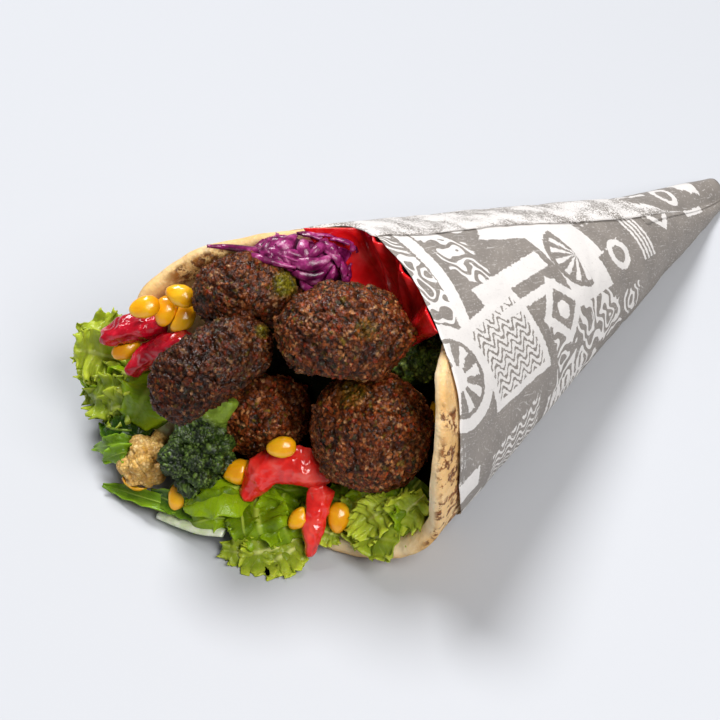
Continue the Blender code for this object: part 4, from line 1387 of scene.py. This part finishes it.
def make_cabbage():
    """Folded shreds that follow the heap's surface, over the heap sunk a little."""
    mesh = dense_copy("red_cabbage", CABBAGE_VOXEL, 6, "cabbage_shreds")
    points, ways = coords(mesh), normals(mesh)
    folds = 1 - 2 * np.abs(spot_noise(points, HEAP_PITCH, 8))
    place_points(mesh, points + ways * (HEAP_FOLD * folds - HEAP_SINK)[:, None])
    work = bmesh.new()
    work.from_mesh(mesh)
    rng = np.random.default_rng(71)
    shown = np.flatnonzero(ways @ np.array(OUT) > -0.2)
    tree = CARRIERS["red_cabbage"]
    for _ in range(CABBAGE_SHREDS):
        spot = Vector(points[rng.choice(shown)])
        heading = math.radians(rng.uniform(-115, -15))
        way = ACROSS * math.cos(heading) + UP * math.sin(heading)
        turn = rng.uniform(-6, 6)
        count = int(rng.integers(10, 20))
        line, backs = [], []
        for step in range(count):
            spot, normal = tree.find_nearest(spot + way * SHRED_STEP)[:2]
            way = (way - normal * way.dot(normal)).normalized()
            way = Matrix.Rotation(math.radians(turn), 3, normal) @ way
            arch = rng.uniform(0.3, 0.4) + 1.3 * math.sin(math.pi * step / (count - 1))
            line.append(spot + normal * arch * MM)
            backs.append(normal)
        ribbon(work, line, backs, rng.uniform(1.2, 2.7) * MM, rng.uniform(0.3, 0.9))
    for keys in STRANDS:
        spots = laid(keys, ("red_cabbage", "falafel_back_left", "pita"))
        line = [Vector(spot) for spot in curve_points([tuple(spot) for spot in spots], 24)]
        ribbon(work, line, [OUT] * len(line), 1.2 * MM, 0.5)
    bmesh.ops.recalc_face_normals(work, faces=work.faces)
    work.to_mesh(mesh)
    work.free()
    new_piece("cabbage_shreds", mesh, cabbage_material(), "red_cabbage", "red_cabbage")


# Stage


WORLD_LIGHT = 0.17
WORLD_COLOUR = (0.92, 0.95, 1.0)
FLOOR_SIZE = 6
FLOOR_GREYS = [(0.525, 0.538, 0.565), (0.535, 0.548, 0.575)]
# Lights: name, place from the camera's target, size, power, colour
LIGHTS = [
    ("key", (0.20, 0.71, 1.50), 0.7, 28.5, (0.99, 0.99, 1.0)),
    ("fill", (-0.25, -1.0, 1.15), 0.8, 18.5, (1.0, 0.985, 0.97)),
]


def make_stage():
    bpy.ops.mesh.primitive_plane_add(size=FLOOR_SIZE)
    floor = bpy.context.active_object
    floor.name = "floor"
    look = Look("floor")
    colour = look.mix(look.noise(3, 2), *FLOOR_GREYS)
    floor.data.materials.append(look.finish(colour, 0.6, Specular_IOR_Level=0.2))
    world = bpy.data.worlds.new("studio")
    world.use_nodes = True
    background = world.node_tree.nodes["Background"]
    background.inputs["Color"].default_value = (*WORLD_COLOUR, 1.0)
    background.inputs["Strength"].default_value = WORLD_LIGHT
    bpy.context.scene.world = world
    for name, offset, size, power, colour in LIGHTS:
        area_light(name, CAMERA_TARGET + Vector(offset), size, power, colour)
    bpy.context.scene.view_settings.view_transform = "Standard"


def area_light(name, place, size, power, colour):
    light = bpy.data.lights.new(name, "AREA")
    light.shape = "DISK"
    light.size = size
    light.energy = power
    light.color = colour
    lamp = bpy.data.objects.new(name, light)
    lamp.location = place
    lamp.rotation_euler = (place - CAMERA_TARGET).to_track_quat("Z", "Y").to_euler()
    bpy.context.scene.collection.objects.link(lamp)


def make_camera():
    data = bpy.data.cameras.new("camera")
    data.sensor_width = SENSOR_MM
    data.lens = SENSOR_MM * FOCAL_PIXELS / FRAME_PIXELS
    camera = bpy.data.objects.new("camera", data)
    camera.location = EYE
    camera.rotation_euler = OUT.to_track_quat("Z", "Y").to_euler()
    bpy.context.scene.collection.objects.link(camera)
    bpy.context.scene.camera = camera


make_camera()
make_stage()
make_paper()
make_bread()
make_salad()
make_cabbage()
make_strips()
make_florets()
make_corn()
make_falafels()
